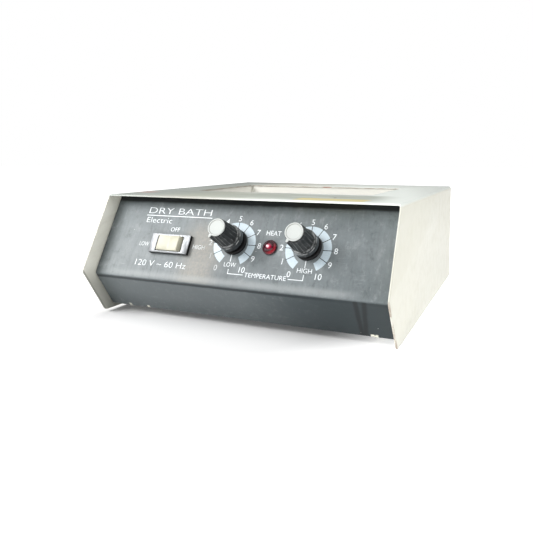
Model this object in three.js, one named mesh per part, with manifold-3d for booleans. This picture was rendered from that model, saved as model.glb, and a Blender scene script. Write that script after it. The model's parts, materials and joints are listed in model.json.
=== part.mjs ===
// Two-control dry block heater for a laboratory bench, in millimetres with +Z up.
// The origin lies on the surface that it stands on, under the middle of its outline.
// The control panel faces -Y. Every mesh is one solid piece of the real assembly.
import * as THREE from 'three';
import { mergeVertices } from 'three/addons/utils/BufferGeometryUtils.js';
import Module from 'manifold-3d';

const wasm = await Module();
wasm.setup();

// ---- Driving dimensions ----------------------------------------------------------------

const WIDTH = 240; // over the cover's two sides
const DEPTH = 266; // from the nose of the sides to their back edge
const HEIGHT = 93.3; // from the bottom edge of the sides to the top
const LIFT = 2; // how far the feet reach below the sides
const SHEET = 1.2; // sheet steel of the cover, pan and rear panel
const FIT = 0.1; // gap between flat faces that rest on each other
const TURNED_FIT = 0.3; // the same gap inside the leaning control panel
const SCREW_FIT = 0.2; // radial clearance of a screw in its hole
const SMALL_ROUND = 12; // sides of a screw, its hole or a wire terminal
const ROUND = 16; // sides of a small round part
const HEXAGON = 6; // sides of a nut or a hexagonal spacer
const FINE_ROUND = 32; // sides of a round part that shows on the panel
const OVERCUT = 1; // how far a cutter or a joined shape runs past the face that it meets

const NOSE_Y = -132.8;
const BACK_Y = NOSE_Y + DEPTH;
const TOP_Z = LIFT + HEIGHT;
const INNER_HALF = WIDTH / 2 - SHEET;

const SIDE = { topSetback: 31.8, noseZ: 36, bottomSetback: 23.5, noseRadius: 5, footRadius: 4, bend: 2.4 };
const PAN = {
  noseY: NOSE_Y + 12.6,
  noseZ: LIFT + 32.6,
  topY: NOSE_Y + 46.3,
  bottomY: NOSE_Y + 31.8,
  bottomZ: LIFT + 3.4,
  sideGap: 0.8,
  flange: 14,
  bend: 3,
};
const FLOOR_TOP = PAN.bottomZ + SHEET;
const PANEL_ANGLE = Math.atan2(TOP_Z - PAN.noseZ, PAN.topY - PAN.noseY);
const REAR = { y: BACK_Y - 8, flange: 14, bend: 2 };

const WELL = { halfX: 80.8, frontY: NOSE_Y + 101, backY: NOSE_Y + 205.8, depth: 46, corner: 3 };
const WELL_MID_Y = (WELL.frontY + WELL.backY) / 2;
const LINER = { wall: 1, clear: 0.6, flange: 8 };
const PLATE = { overhang: 4.5, thickness: 8, topZ: TOP_Z - WELL.depth, step: 1.2, seatClear: 0.2 };
const PLATE_RIM_Z = PLATE.topZ - PLATE.step; // the ledge round the seat, under the liner
const ELEMENT = { halfX: 66, halfY: 42, thickness: 2.5, clamp: 2, terminal: 8, terminalHalf: 3 };
const WRAP = { gap: 0.5, thickness: 11, topGap: 4 };
const SLAB_BOTTOM = 12;
const STANDOFF = { radius: 4, insetX: 6.5, insetY: 6.5, holeDepth: 10 };

const SCREW = {
  radius: 1.5,
  length: 7,
  head: 3,
  headHeight: 2.1,
  crownRadius: 2.1,
  shoulder: 0.95,
  slot: 0.7,
  slotDepth: 0.8,
};
const FOOT = { radius: 8, topRadius: 7, x: 86, frontY: NOSE_Y + 62, backY: BACK_Y - 40, seat: 3.4, web: 2 };
const EAR = { inward: 22, half: 5.5, screwX: 103.5, frontY: NOSE_Y + 38.5, backY: BACK_Y - 28 };
const VENT = { halfX: 2, halfY: 14, pitch: 12, count: 9, y: NOSE_Y + 82 };

const DIALS = { low: -1.2, high: 56.6 };
const DIAL_UP = 33; // height of the control axes along the panel's face
const KNOB = {
  skirtZ: 6.4,
  skirtTop: 11,
  flangeTop: 13.4,
  bodyTop: 28,
  skirtRadius: 9.6,
  flangeRadius: 9.1,
  bodyRadius: 8,
  tipRadius: 6.9,
  hollowRadius: 8.2,
  hollowDepth: 3,
  boreDepth: 19,
  ribHalf: 0.7,
  ribRadius: 8.5,
};
const CAP = { radius: 6.3, top: 29.6, rim: 0.8, dish: 0.4, nibRadius: 8.3, nibHalf: 1.1 };
const POINTER_AT_REST = -150; // degrees from straight up, clockwise positive: the dial's 0
const SHAFT = { radius: 3, back: -12, front: 24.5, clear: 0.3, flat: 0.7 };
const BUSHING = { radius: 4.5, front: 5.6, back: -9.6 };
const NUT = { flats: 12, height: 1.5 };
const NUT_COVER = { radius: 9.7, inner: 7.5, height: 2.7, lid: 0.6, mouth: 5 };
const THERMOSTAT = { halfX: 16, halfY: 18, depth: 27 };

const SWITCH = {
  x: -55,
  up: 27.4,
  halfX: 17.2,
  halfY: 7.5,
  flange: 2.2,
  plate: 0.8,
  windowX: 11.6,
  windowY: 6,
  bodyX: 12.6,
  bodyY: 7,
  depth: 22,
  pocket: 9,
  pivot: -1,
  pinRadius: 1,
  pinHalf: 6.8,
};
const ROCKER = {
  half: 5.7,
  footX: 8,
  footZ: -3,
  endX: 10.6,
  endZ: 2.2,
  ridgeX: 9.1,
  ridgeZ: 6.8,
  valleyZ: 5.3,
  edgeRound: 1,
  ridgeRound: 0.6,
  valleyRound: 8,
  roundSteps: 4,
};

const LAMP = {
  x: 27.8,
  up: 30.7,
  lens: 5.7,
  rim: 1.3,
  dome: 5,
  domeRadius: 5.1,
  domeSteps: 6,
  barrel: 4.3,
  depth: 21,
  clip: 6.4,
  clipThick: 2,
};

const INLET = {
  x: -72,
  z: 36,
  flangeX: 16,
  flangeZ: 12,
  flange: 3,
  bodyX: 13.8,
  bodyZ: 10,
  depth: 20,
  mouthX: 12,
  mouthZ: 8,
  mouthDepth: 16,
  pinRow: 7,
  pinZ: 2.5,
  pinX: 1,
  pinHalf: 2,
  pinTip: 5,
};
const BLOCK = {
  x: -15,
  y: BACK_Y - 30,
  halfX: 16,
  halfY: 6,
  height: 14,
  slots: 4,
  slotHalf: 2.4,
  slotDepth: 5,
};
const CUTOFF = { radius: 6.5, height: 6, inset: 7.5 };
const BULB = { radius: 2.5, half: 28, x: 70.4 };
const CAPILLARY = { radius: 1, x: 6, up: 12, lead: 6, lowY: 22, drop: 4, bulbEnd: 1 };
const WIRE = { radius: 1.3, sides: 8, steps: 18, gap: 0.5, lead: 7 };
const TERMINAL = { x: 8, up: 8, spread: 7, edge: 2 }; // tabs on the back of a thermostat or the switch

// Free points of each wire between its two straight leads, chosen to stay clear of the parts.
const VIA = {
  supply: [
    [-89, 87, 31],
    [-107, 73, 26],
    [-107, -31, 24],
    [-77, -78, 31],
  ],
  neutral: [
    [-56, 91, 24],
    [-37, 86, 20],
  ],
  toLow: [[-27, -69, 47]],
  toHigh: [
    [-10, -70, 31],
    [29, -69, 38],
  ],
  element: [[41, -49, 33]],
  lamp: [[37, -64, 58]],
};

// ---- Materials -------------------------------------------------------------------------

const material = (color, roughness, metalness) => {
  return new THREE.MeshStandardMaterial({ color, roughness, metalness });
};
const MATERIALS = {
  cream: () => material('#dedccd', 0.45, 0),
  charcoal: () => material('#565c5e', 0.5, 0),
  steel: () => material('#b9bcbd', 0.35, 1),
  zinc: () => material('#c9ccc9', 0.35, 1),
  aluminium: () => material('#b7babb', 0.45, 1),
  black: () => material('#1b1c1d', 0.45, 0),
  ivory: () => material('#eceacf', 0.4, 0),
  white: () => material('#f0efe6', 0.4, 0),
  red: () => material('#6d0410', 0.12, 0),
  rubber: () => material('#222222', 0.85, 0),
  fibre: () => material('#d8cfae', 0.95, 0),
  mica: () => material('#b19a6a', 0.6, 0),
  brass: () => material('#b38f45', 0.35, 1),
  copper: () => material('#b06a3f', 0.4, 1),
  wire: () => material('#d9d5c6', 0.7, 0),
};

// ---- Solids ----------------------------------------------------------------------------

// A manifold solid from a closed three.js geometry.
function solid(geometry) {
  const bare = geometry.clone();
  bare.deleteAttribute('normal');
  bare.deleteAttribute('uv');
  const merged = mergeVertices(bare, 1e-4);
  const vertProperties = new Float32Array(merged.attributes.position.array);
  const triVerts = new Uint32Array(merged.index.array);
  return new wasm.Manifold(new wasm.Mesh({ numProp: 3, vertProperties, triVerts }));
}

// A three.js geometry from a manifold solid.
function geometryOf(body) {
  const mesh = body.getMesh();
  const geometry = new THREE.BufferGeometry();
  geometry.setAttribute('position', new THREE.BufferAttribute(new Float32Array(mesh.vertProperties), 3));
  geometry.setIndex(new THREE.BufferAttribute(new Uint32Array(mesh.triVerts), 1));
  geometry.computeVertexNormals();
  return geometry;
}

function piece(name, body, finish) {
  const mesh = new THREE.Mesh(geometryOf(body), MATERIALS[finish]());
  mesh.name = name;
  return mesh;
}

function box(low, high) {
  const size = high.map((value, axis) => value - low[axis]);
  const geometry = new THREE.BoxGeometry(...size);
  geometry.translate(...high.map((value, axis) => (value + low[axis]) / 2));
  return solid(geometry);
}

// A round bar along Z.
function bar(radius, z0, z1, x = 0, y = 0, sides = ROUND) {
  const geometry = new THREE.CylinderGeometry(radius, radius, z1 - z0, sides);
  geometry.rotateX(Math.PI / 2);
  geometry.translate(x, y, (z0 + z1) / 2);
  return solid(geometry);
}

// The clearance hole of an upright screw.
const drill = (x, y, z0, z1) => bar(SCREW.radius + SCREW_FIT, z0, z1, x, y, SMALL_ROUND);

// A turned part about Z, from a closed outline of [radius, z] points.
function turned(outline, sides = ROUND) {
  const points = outline.map(([radius, z]) => new THREE.Vector2(radius, z));
  const geometry = new THREE.LatheGeometry(points, sides);
  geometry.rotateX(Math.PI / 2);
  return solid(geometry);
}

// A prism of [a, b] points: 'x' spreads them over Y and Z, 'y' over X and Z.
function prism(points, axis, from, to) {
  const shape = new THREE.Shape(points.map(([a, b]) => new THREE.Vector2(a, b)));
  const geometry = new THREE.ExtrudeGeometry(shape, { depth: to - from, bevelEnabled: false });
  const basis = new THREE.Matrix4();
  const [x, y, z] = [0, 1, 2].map((index) => new THREE.Vector3().setComponent(index, 1));
  if (axis === 'x') {
    basis.makeBasis(y, z, x);
    geometry.applyMatrix4(basis);
    geometry.translate(from, 0, 0);
  } else if (axis === 'y') {
    basis.makeBasis(x, z, y.clone().negate());
    geometry.applyMatrix4(basis);
    geometry.translate(0, to, 0);
  } else {
    geometry.translate(0, 0, from);
  }
  return solid(geometry);
}

// The points with each inner corner turned into an arc of the radius given for it.
function filleted(points, radii, steps = 5) {
  const path = [];
  points.forEach((point, index) => {
    const radius = radii[index] ?? 0;
    if (radius === 0) {
      path.push(point);
      return;
    }
    const here = new THREE.Vector2(...point);
    const before = new THREE.Vector2(...points.at(index - 1)).sub(here).normalize();
    const after = new THREE.Vector2(...points[(index + 1) % points.length]).sub(here).normalize();
    const half = Math.acos(before.dot(after)) / 2;
    const toCentre = before.clone().add(after).normalize();
    const centre = here.clone().addScaledVector(toCentre, radius / Math.sin(half));
    const reach = radius / Math.tan(half);
    const start = here.clone().addScaledVector(before, reach).sub(centre);
    const end = here.clone().addScaledVector(after, reach).sub(centre);
    const turn = Math.atan2(start.cross(end), start.dot(end));
    for (let step = 0; step <= steps; step += 1) {
      const spoke = start.clone().rotateAround(new THREE.Vector2(), (turn * step) / steps);
      path.push([centre.x + spoke.x, centre.y + spoke.y]);
    }
  });
  return path;
}

// The line moved to its left by a distance, with mitred corners.
function offsetLine(points, distance) {
  const normals = points.slice(1).map(([x, y], index) => {
    const along = new THREE.Vector2(x - points[index][0], y - points[index][1]).normalize();
    return new THREE.Vector2(-along.y, along.x);
  });
  return points.map(([x, y], index) => {
    const first = normals[Math.max(index - 1, 0)];
    const second = normals[Math.min(index, normals.length - 1)];
    const middle = first.clone().add(second).normalize();
    const reach = distance / middle.dot(first);
    return [x + middle.x * reach, y + middle.y * reach];
  });
}

// Bent sheet: the line of its outer face, which bends away from the side the sheet lies on.
function bentSheet(outer, bend, axis, from, to) {
  const inner = offsetLine(outer, SHEET);
  const last = outer.length - 1;
  const radii = (radius) => outer.map((_, index) => (index === 0 || index === last ? 0 : radius));
  const outline = [...filleted(outer, radii(bend)), ...filleted(inner, radii(bend - SHEET)).reverse()];
  return prism(outline, axis, from, to);
}

// A tube along a smooth line through points.
function tube(points, radius, steps = WIRE.steps) {
  const curve = new THREE.CatmullRomCurve3(points, false, 'centripetal');
  const section = new THREE.Shape();
  for (let side = 0; side < WIRE.sides; side += 1) {
    const angle = (side / WIRE.sides) * 2 * Math.PI;
    const x = radius * Math.cos(angle);
    const y = radius * Math.sin(angle);
    if (side === 0) section.moveTo(x, y);
    else section.lineTo(x, y);
  }
  section.closePath();
  return solid(new THREE.ExtrudeGeometry(section, { steps, extrudePath: curve, bevelEnabled: false }));
}

const join = (bodies) => bodies.reduce((whole, body) => whole.add(body));

// ---- Cover, pan and rear panel ---------------------------------------------------------

function sideOutline() {
  const corners = [
    [NOSE_Y + SIDE.topSetback, TOP_Z],
    [NOSE_Y, LIFT + SIDE.noseZ],
    [NOSE_Y + SIDE.bottomSetback, LIFT],
    [BACK_Y, LIFT],
    [BACK_Y, TOP_Z],
  ];
  return filleted(corners, [0, SIDE.noseRadius, SIDE.footRadius, 0, 0]);
}

// Folded sheet-steel cover: the top and two sides, with a well opening and four screw ears.
function cover() {
  const fold = [
    [WIDTH / 2, LIFT],
    [WIDTH / 2, TOP_Z],
    [-WIDTH / 2, TOP_Z],
    [-WIDTH / 2, LIFT],
  ];
  const folded = bentSheet(fold, SIDE.bend, 'y', NOSE_Y, BACK_Y);
  const silhouette = prism(sideOutline(), 'x', -WIDTH, WIDTH);
  const opening = [
    [-WELL.halfX, WELL.frontY],
    [WELL.halfX, WELL.frontY],
    [WELL.halfX, WELL.backY],
    [-WELL.halfX, WELL.backY],
  ];
  const cut = prism(filleted(opening, Array(4).fill(WELL.corner)), 'z', TOP_Z - 3 * SHEET, TOP_Z + SHEET);
  let body = folded.intersect(silhouette).subtract(cut);
  for (const [side, y] of coverScrews()) {
    const z = FLOOR_TOP + FIT;
    const x = [side * (INNER_HALF + SHEET / 2), side * (INNER_HALF - EAR.inward)].sort((a, b) => a - b);
    const ear = box([x[0], y - EAR.half, z], [x[1], y + EAR.half, z + SHEET]);
    const hole = drill(side * EAR.screwX, y, z - SHEET, z + 2 * SHEET);
    body = body.add(ear).subtract(hole);
  }
  return piece('cover', body, 'cream');
}

const coverScrews = () => [-1, 1].flatMap((side) => [EAR.frontY, EAR.backY].map((y) => [side, y]));
const feet = () => [-1, 1].flatMap((side) => [FOOT.frontY, FOOT.backY].map((y) => [side, y]));
const standoffs = () => {
  const halfY = (WELL.backY - WELL.frontY) / 2 + PLATE.overhang - STANDOFF.insetY;
  const halfX = WELL.halfX + PLATE.overhang - STANDOFF.insetX;
  return [-1, 1].flatMap((side) => [-1, 1].map((end) => [side * halfX, WELL_MID_Y + end * halfY]));
};

// Base pan: the leaning control panel, its nose, the lower front and the floor in one sheet.
function basePan() {
  const lipZ = TOP_Z - SHEET - FIT;
  const lean = (PAN.topY - PAN.noseY) / (TOP_Z - PAN.noseZ);
  const lipY = PAN.noseY + (lipZ - PAN.noseZ) * lean;
  const line = [
    [REAR.y, PAN.bottomZ],
    [PAN.bottomY, PAN.bottomZ],
    [PAN.noseY, PAN.noseZ],
    [lipY, lipZ],
    [lipY + PAN.flange, lipZ],
  ];
  const half = INNER_HALF - PAN.sideGap;
  let body = bentSheet(line.reverse(), PAN.bend, 'x', -half, half);
  for (const cutter of panelCutters()) {
    body = body.subtract(cutter.transform(panelMatrix().elements));
  }
  const screwHoles = [
    ...coverScrews().map(([side, y]) => [side * EAR.screwX, y]),
    ...feet().map(([side, y]) => [side * FOOT.x, y]),
    ...standoffs(),
  ];
  for (const [x, y] of screwHoles) {
    body = body.subtract(drill(x, y, PAN.bottomZ - SHEET, FLOOR_TOP + SHEET));
  }
  for (let slot = 0; slot < VENT.count; slot += 1) {
    const x = (slot - (VENT.count - 1) / 2) * VENT.pitch;
    const low = [x - VENT.halfX, VENT.y - VENT.halfY, PAN.bottomZ - SHEET];
    const high = [x + VENT.halfX, VENT.y + VENT.halfY, FLOOR_TOP + SHEET];
    body = body.subtract(box(low, high));
  }
  return piece('base_pan', body, 'charcoal');
}

// The control panel's own frame: X to the right, Y up its face, Z out of it.
function panelMatrix() {
  const matrix = new THREE.Matrix4().makeRotationX(PANEL_ANGLE);
  return matrix.setPosition(0, PAN.noseY, PAN.noseZ);
}

const panelPoint = (x, up, out) => new THREE.Vector3(x, up, out).applyMatrix4(panelMatrix());

function panelCutters() {
  const back = -3 * SHEET;
  const front = SHEET;
  const clear = TURNED_FIT;
  const holes = Object.values(DIALS).map((x) => bar(BUSHING.radius + clear, back, front, x, DIAL_UP));
  holes.push(bar(LAMP.barrel + clear, back, front, LAMP.x, LAMP.up));
  const low = [SWITCH.x - SWITCH.bodyX - clear, SWITCH.up - SWITCH.bodyY - clear, back];
  const high = [SWITCH.x + SWITCH.bodyX + clear, SWITCH.up + SWITCH.bodyY + clear, front];
  holes.push(box(low, high));
  return holes;
}

function rearPanel() {
  const bottom = FLOOR_TOP + FIT;
  const top = TOP_Z - SHEET - FIT;
  const line = [
    [REAR.y - REAR.flange, bottom],
    [REAR.y, bottom],
    [REAR.y, top],
    [REAR.y - REAR.flange, top],
  ];
  const half = INNER_HALF - PAN.sideGap;
  let body = bentSheet(line, REAR.bend, 'x', -half, half);
  const x = [INLET.x - INLET.bodyX - TURNED_FIT, INLET.x + INLET.bodyX + TURNED_FIT];
  const z = [INLET.z - INLET.bodyZ - TURNED_FIT, INLET.z + INLET.bodyZ + TURNED_FIT];
  body = body.subtract(box([x[0], REAR.y - 3 * SHEET, z[0]], [x[1], REAR.y + SHEET, z[1]]));
  return piece('rear_panel', body, 'charcoal');
}

// ---- Heating well ----------------------------------------------------------------------

// A box that is larger than the well opening by a margin on every side.
function aroundWell(margin, z0, z1) {
  const low = [-WELL.halfX - margin, WELL.frontY - margin, z0];
  const high = [WELL.halfX + margin, WELL.backY + margin, z1];
  return box(low, high);
}

function wellLiner() {
  const top = TOP_Z - SHEET - FIT;
  const bottom = PLATE_RIM_Z + FIT;
  const inner = LINER.clear;
  const outer = LINER.clear + LINER.wall;
  const walls = aroundWell(outer, bottom, top);
  const flange = aroundWell(outer + LINER.flange, top - LINER.wall, top);
  const body = walls.add(flange).subtract(aroundWell(inner, bottom - SHEET, top + SHEET));
  return piece('well_liner', body, 'cream');
}

// Plate that the heating blocks rest on: its seat stands up inside the liner.
function heaterPlate() {
  const bottom = PLATE.topZ - PLATE.thickness;
  const slab = aroundWell(PLATE.overhang, bottom, PLATE_RIM_Z);
  const seat = aroundWell(PLATE.seatClear, bottom, PLATE.topZ);
  return piece('heater_plate', slab.add(seat), 'aluminium');
}

const ELEMENT_TOP = PLATE.topZ - PLATE.thickness - FIT;
const CLAMP_TOP = ELEMENT_TOP - ELEMENT.thickness - FIT;

function centredSlab(halfX, halfY, z0, z1) {
  return box([-halfX, WELL_MID_Y - halfY, z0], [halfX, WELL_MID_Y + halfY, z1]);
}

// Mica heating element with two terminal tabs towards the front.
function heatingElement() {
  const bottom = ELEMENT_TOP - ELEMENT.thickness;
  let body = centredSlab(ELEMENT.halfX, ELEMENT.halfY, bottom, ELEMENT_TOP);
  const edge = WELL_MID_Y - ELEMENT.halfY;
  for (const side of [-1, 1]) {
    const x = side * (ELEMENT.halfX / 2);
    const low = [x - ELEMENT.terminalHalf, edge - ELEMENT.terminal, bottom];
    const high = [x + ELEMENT.terminalHalf, edge + OVERCUT, ELEMENT_TOP];
    body = body.add(box(low, high));
  }
  return piece('heating_element', body, 'mica');
}

function elementClamp() {
  const body = centredSlab(ELEMENT.halfX, ELEMENT.halfY, CLAMP_TOP - ELEMENT.clamp, CLAMP_TOP);
  return piece('element_clamp', body, 'steel');
}

function insulationSlab() {
  const top = CLAMP_TOP - ELEMENT.clamp - FIT;
  return piece('insulation_slab', centredSlab(ELEMENT.halfX, ELEMENT.halfY, SLAB_BOTTOM, top), 'fibre');
}

function insulationWrap() {
  const inner = LINER.clear + LINER.wall + WRAP.gap;
  const top = TOP_Z - SHEET - WRAP.topGap;
  const outside = aroundWell(inner + WRAP.thickness, PLATE_RIM_Z + FIT, top);
  const body = outside.subtract(aroundWell(inner, PLATE_RIM_Z - SHEET, top + SHEET));
  return piece('insulation_wrap', body, 'fibre');
}

function plateStandoff(index, [x, y]) {
  const bottom = FLOOR_TOP + FIT;
  const post = bar(STANDOFF.radius, bottom, PLATE.topZ - PLATE.thickness - FIT, x, y, HEXAGON);
  const hole = drill(x, y, bottom - SHEET, bottom + STANDOFF.holeDepth);
  return piece(`plate_standoff_${index + 1}`, post.subtract(hole), 'steel');
}

function thermalCutoff() {
  const top = PLATE.topZ - PLATE.thickness - FIT;
  const y = WELL.frontY - PLATE.overhang + CUTOFF.inset;
  const disc = bar(CUTOFF.radius, top - CUTOFF.height, top, 0, y);
  return piece('thermal_cutoff', disc, 'black');
}

// ---- Fasteners and feet ----------------------------------------------------------------

// Slotted pan-head screw that points up, with the underside of its head at z.
function screw(name, x, y, z) {
  const { radius, head, headHeight, crownRadius, shoulder, length, slot, slotDepth } = SCREW;
  const outline = [
    [0, -headHeight],
    [crownRadius, -headHeight],
    [head, -shoulder],
    [head, 0],
    [radius, 0],
    [radius, length],
    [0, length],
  ];
  const groove = box([-head, -slot / 2, -2 * headHeight], [head, slot / 2, slotDepth - headHeight]);
  const mesh = piece(name, turned(outline, SMALL_ROUND).subtract(groove), 'zinc');
  mesh.position.set(x, y, z);
  return mesh;
}

function foot(index, [side, y]) {
  const hole = SCREW.radius + SCREW_FIT;
  const outline = [
    [FOOT.topRadius, 0],
    [FOOT.radius, PAN.bottomZ - FIT],
    [hole, PAN.bottomZ - FIT],
    [hole, PAN.bottomZ - FOOT.web],
    [FOOT.seat, PAN.bottomZ - FOOT.web],
    [FOOT.seat, 0],
    [FOOT.topRadius, 0],
  ];
  const mesh = piece(`foot_${index + 1}`, turned(outline), 'rubber');
  mesh.position.set(side * FOOT.x, y, 0);
  return mesh;
}

function fasteners() {
  const under = PAN.bottomZ - FIT;
  const meshes = [];
  coverScrews().forEach(([side, y], index) => {
    meshes.push(screw(`cover_screw_${index + 1}`, side * EAR.screwX, y, under));
  });
  feet().forEach(([side, y], index) => {
    meshes.push(foot(index, [side, y]));
    const seat = PAN.bottomZ - FOOT.web - FIT;
    meshes.push(screw(`foot_screw_${index + 1}`, side * FOOT.x, y, seat));
  });
  standoffs().forEach(([x, y], index) => {
    meshes.push(plateStandoff(index, [x, y]));
    meshes.push(screw(`standoff_screw_${index + 1}`, x, y, under));
  });
  return meshes;
}

// ---- Temperature controls --------------------------------------------------------------

// Thermostat behind the panel, with the bushing that its shaft turns in.
function thermostat(name) {
  const face = -SHEET - TURNED_FIT;
  const { halfX, halfY, depth } = THERMOSTAT;
  const body = box([-halfX, -halfY, face - depth], [halfX, halfY, face]);
  const bushing = bar(BUSHING.radius, BUSHING.back, BUSHING.front);
  const bore = bar(SHAFT.radius + SHAFT.clear, SHAFT.back - SHAFT.clear, BUSHING.front + OVERCUT);
  return piece(`thermostat_${name}`, body.add(bushing).subtract(bore), 'steel');
}

function controlShaft(name) {
  const { radius, back, front, flat } = SHAFT;
  const flatSide = box([-radius, radius - flat, KNOB.skirtZ], [radius, 2 * radius, front + OVERCUT]);
  return piece(`control_shaft_${name}`, bar(radius, back, front).subtract(flatSide), 'brass');
}

function bushingNut(name) {
  const corner = NUT.flats / 2 / Math.cos(Math.PI / 6);
  const hexagon = bar(corner, TURNED_FIT, TURNED_FIT + NUT.height, 0, 0, HEXAGON);
  const hole = bar(BUSHING.radius + SCREW_FIT, 0, TURNED_FIT + NUT.height + OVERCUT);
  return piece(`bushing_nut_${name}`, hexagon.subtract(hole), 'zinc');
}

// Round black cup that hides the nut and forms the dial's middle.
function nutCover(name) {
  const { radius, inner, height, lid, mouth } = NUT_COVER;
  const outline = [
    [radius, TURNED_FIT],
    [radius, height - lid],
    [radius - lid, height],
    [mouth, height],
    [mouth, height - lid],
    [inner, height - lid],
    [inner, TURNED_FIT],
    [radius, TURNED_FIT],
  ];
  return piece(`nut_cover_${name}`, turned(outline, FINE_ROUND), 'black');
}

const pointerTurn = () => -THREE.MathUtils.degToRad(POINTER_AT_REST);

function knob(name) {
  const bore = SHAFT.radius + SHAFT.clear;
  const outline = [
    [bore, KNOB.skirtZ + KNOB.hollowDepth],
    [KNOB.hollowRadius, KNOB.skirtZ + KNOB.hollowDepth],
    [KNOB.hollowRadius, KNOB.skirtZ],
    [KNOB.skirtRadius, KNOB.skirtZ],
    [KNOB.skirtRadius, KNOB.skirtTop],
    [KNOB.flangeRadius, KNOB.skirtTop],
    [KNOB.flangeRadius, KNOB.flangeTop],
    [KNOB.bodyRadius, KNOB.flangeTop],
    [KNOB.tipRadius, KNOB.bodyTop],
    [0, KNOB.bodyTop],
    [0, KNOB.skirtZ + KNOB.boreDepth],
    [bore, KNOB.skirtZ + KNOB.boreDepth],
    [bore, KNOB.skirtZ + KNOB.hollowDepth],
  ];
  const rib = box([-KNOB.ribHalf, 2 * bore, KNOB.skirtTop], [KNOB.ribHalf, KNOB.ribRadius, KNOB.bodyTop]);
  const mesh = piece(`knob_${name}`, turned(outline, FINE_ROUND).add(rib), 'black');
  mesh.rotation.z = pointerTurn();
  return mesh;
}

// Pale inlay on the knob's end, with a raised rim and a pointer nib.
function knobCap(name) {
  const bottom = KNOB.bodyTop + TURNED_FIT;
  const outline = [
    [0, bottom],
    [CAP.radius, bottom],
    [CAP.radius, CAP.top],
    [CAP.radius - CAP.rim, CAP.top],
    [CAP.radius - CAP.rim, CAP.top - CAP.dish],
    [0, CAP.top - CAP.dish],
  ];
  const nibPoints = [
    [-CAP.nibHalf, CAP.radius - CAP.rim / 2],
    [CAP.nibHalf, CAP.radius - CAP.rim / 2],
    [CAP.nibHalf / 2, CAP.nibRadius],
    [-CAP.nibHalf / 2, CAP.nibRadius],
  ];
  const nib = prism(nibPoints, 'z', bottom, CAP.top - CAP.dish);
  const mesh = piece(`knob_cap_${name}`, turned(outline, FINE_ROUND).add(nib), 'white');
  mesh.rotation.z = pointerTurn();
  return mesh;
}

function temperatureControl(name, x) {
  const group = new THREE.Group();
  group.position.set(x, DIAL_UP, 0);
  group.add(thermostat(name), controlShaft(name), bushingNut(name));
  group.add(nutCover(name), knob(name), knobCap(name));
  return group;
}

// ---- Rocker switch and heat lamp -------------------------------------------------------

function switchBody() {
  const { halfX, halfY, flange, windowX, windowY, bodyX, bodyY } = SWITCH;
  const { depth, pocket, pivot, pinRadius, pinHalf } = SWITCH;
  const rim = box([-halfX, -halfY, TURNED_FIT], [halfX, halfY, flange]);
  const block = box([-bodyX, -bodyY, -depth], [bodyX, bodyY, flange / 2]);
  const hollow = box([-windowX, -windowY, -pocket], [windowX, windowY, flange + OVERCUT]);
  const pinHole = bar(pinRadius + SCREW_FIT / 2, -pinHalf - FIT, pinHalf + FIT).rotate([90, 0, 0]);
  const body = rim.add(block).subtract(hollow).subtract(pinHole.translate([0, 0, pivot]));
  return piece('switch_body', body, 'black');
}

function switchBezel() {
  const bottom = SWITCH.flange + TURNED_FIT;
  const top = bottom + SWITCH.plate;
  const outer = box([-SWITCH.halfX, -SWITCH.halfY, bottom], [SWITCH.halfX, SWITCH.halfY, top]);
  const window = box([-SWITCH.windowX, -SWITCH.windowY, 0], [SWITCH.windowX, SWITCH.windowY, top + OVERCUT]);
  return piece('switch_bezel', outer.subtract(window), 'steel');
}

// Rocker with a shallow V between its two ridges, in its centre-off position.
function switchRocker() {
  const { endX, endZ, ridgeX, ridgeZ, valleyZ, footX, footZ, half } = ROCKER;
  const { edgeRound, ridgeRound, valleyRound } = ROCKER;
  const outline = [
    [-footX, footZ],
    [footX, footZ],
    [endX, endZ],
    [ridgeX, ridgeZ],
    [0, valleyZ],
    [-ridgeX, ridgeZ],
    [-endX, endZ],
  ];
  const radii = [edgeRound, edgeRound, edgeRound, ridgeRound, valleyRound, ridgeRound, edgeRound];
  const rounded = filleted(outline, radii, ROCKER.roundSteps);
  const hole = bar(SWITCH.pinRadius + SCREW_FIT / 2, -2 * half, 2 * half).rotate([90, 0, 0]);
  const mesh = piece('switch_rocker', prism(rounded, 'y', -half, half).subtract(hole), 'ivory');
  mesh.position.z = SWITCH.pivot;
  return mesh;
}

function rockerPin() {
  const pin = bar(SWITCH.pinRadius, -SWITCH.pinHalf, SWITCH.pinHalf).rotate([90, 0, 0]);
  const mesh = piece('rocker_pin', pin, 'steel');
  mesh.position.z = SWITCH.pivot;
  return mesh;
}

function rockerSwitch() {
  const group = new THREE.Group();
  group.position.set(SWITCH.x, SWITCH.up, 0);
  group.add(switchBody(), switchBezel(), switchRocker(), rockerPin());
  return group;
}

function lampLens() {
  const { lens, rim, dome, domeRadius, domeSteps } = LAMP;
  const outline = [[0, TURNED_FIT], [lens, TURNED_FIT], [lens, rim]];
  for (let step = 0; step < domeSteps; step += 1) {
    const angle = (step / domeSteps) * (Math.PI / 2);
    outline.push([domeRadius * Math.cos(angle), rim + (dome - rim) * Math.sin(angle)]);
  }
  outline.push([0, dome]);
  return piece('lamp_lens', turned(outline), 'red');
}

function lampBody() {
  return piece('lamp_body', bar(LAMP.barrel, -LAMP.depth, 0), 'black');
}

function lampClip() {
  const top = -SHEET - TURNED_FIT;
  const ring = bar(LAMP.clip, top - LAMP.clipThick, top);
  const hole = bar(LAMP.barrel + SCREW_FIT, -LAMP.depth, 0);
  return piece('lamp_clip', ring.subtract(hole), 'zinc');
}

function heatLamp() {
  const group = new THREE.Group();
  group.position.set(LAMP.x, LAMP.up, 0);
  group.add(lampLens(), lampBody(), lampClip());
  return group;
}

// ---- Mains inlet, terminals, capillaries and wires -------------------------------------

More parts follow.
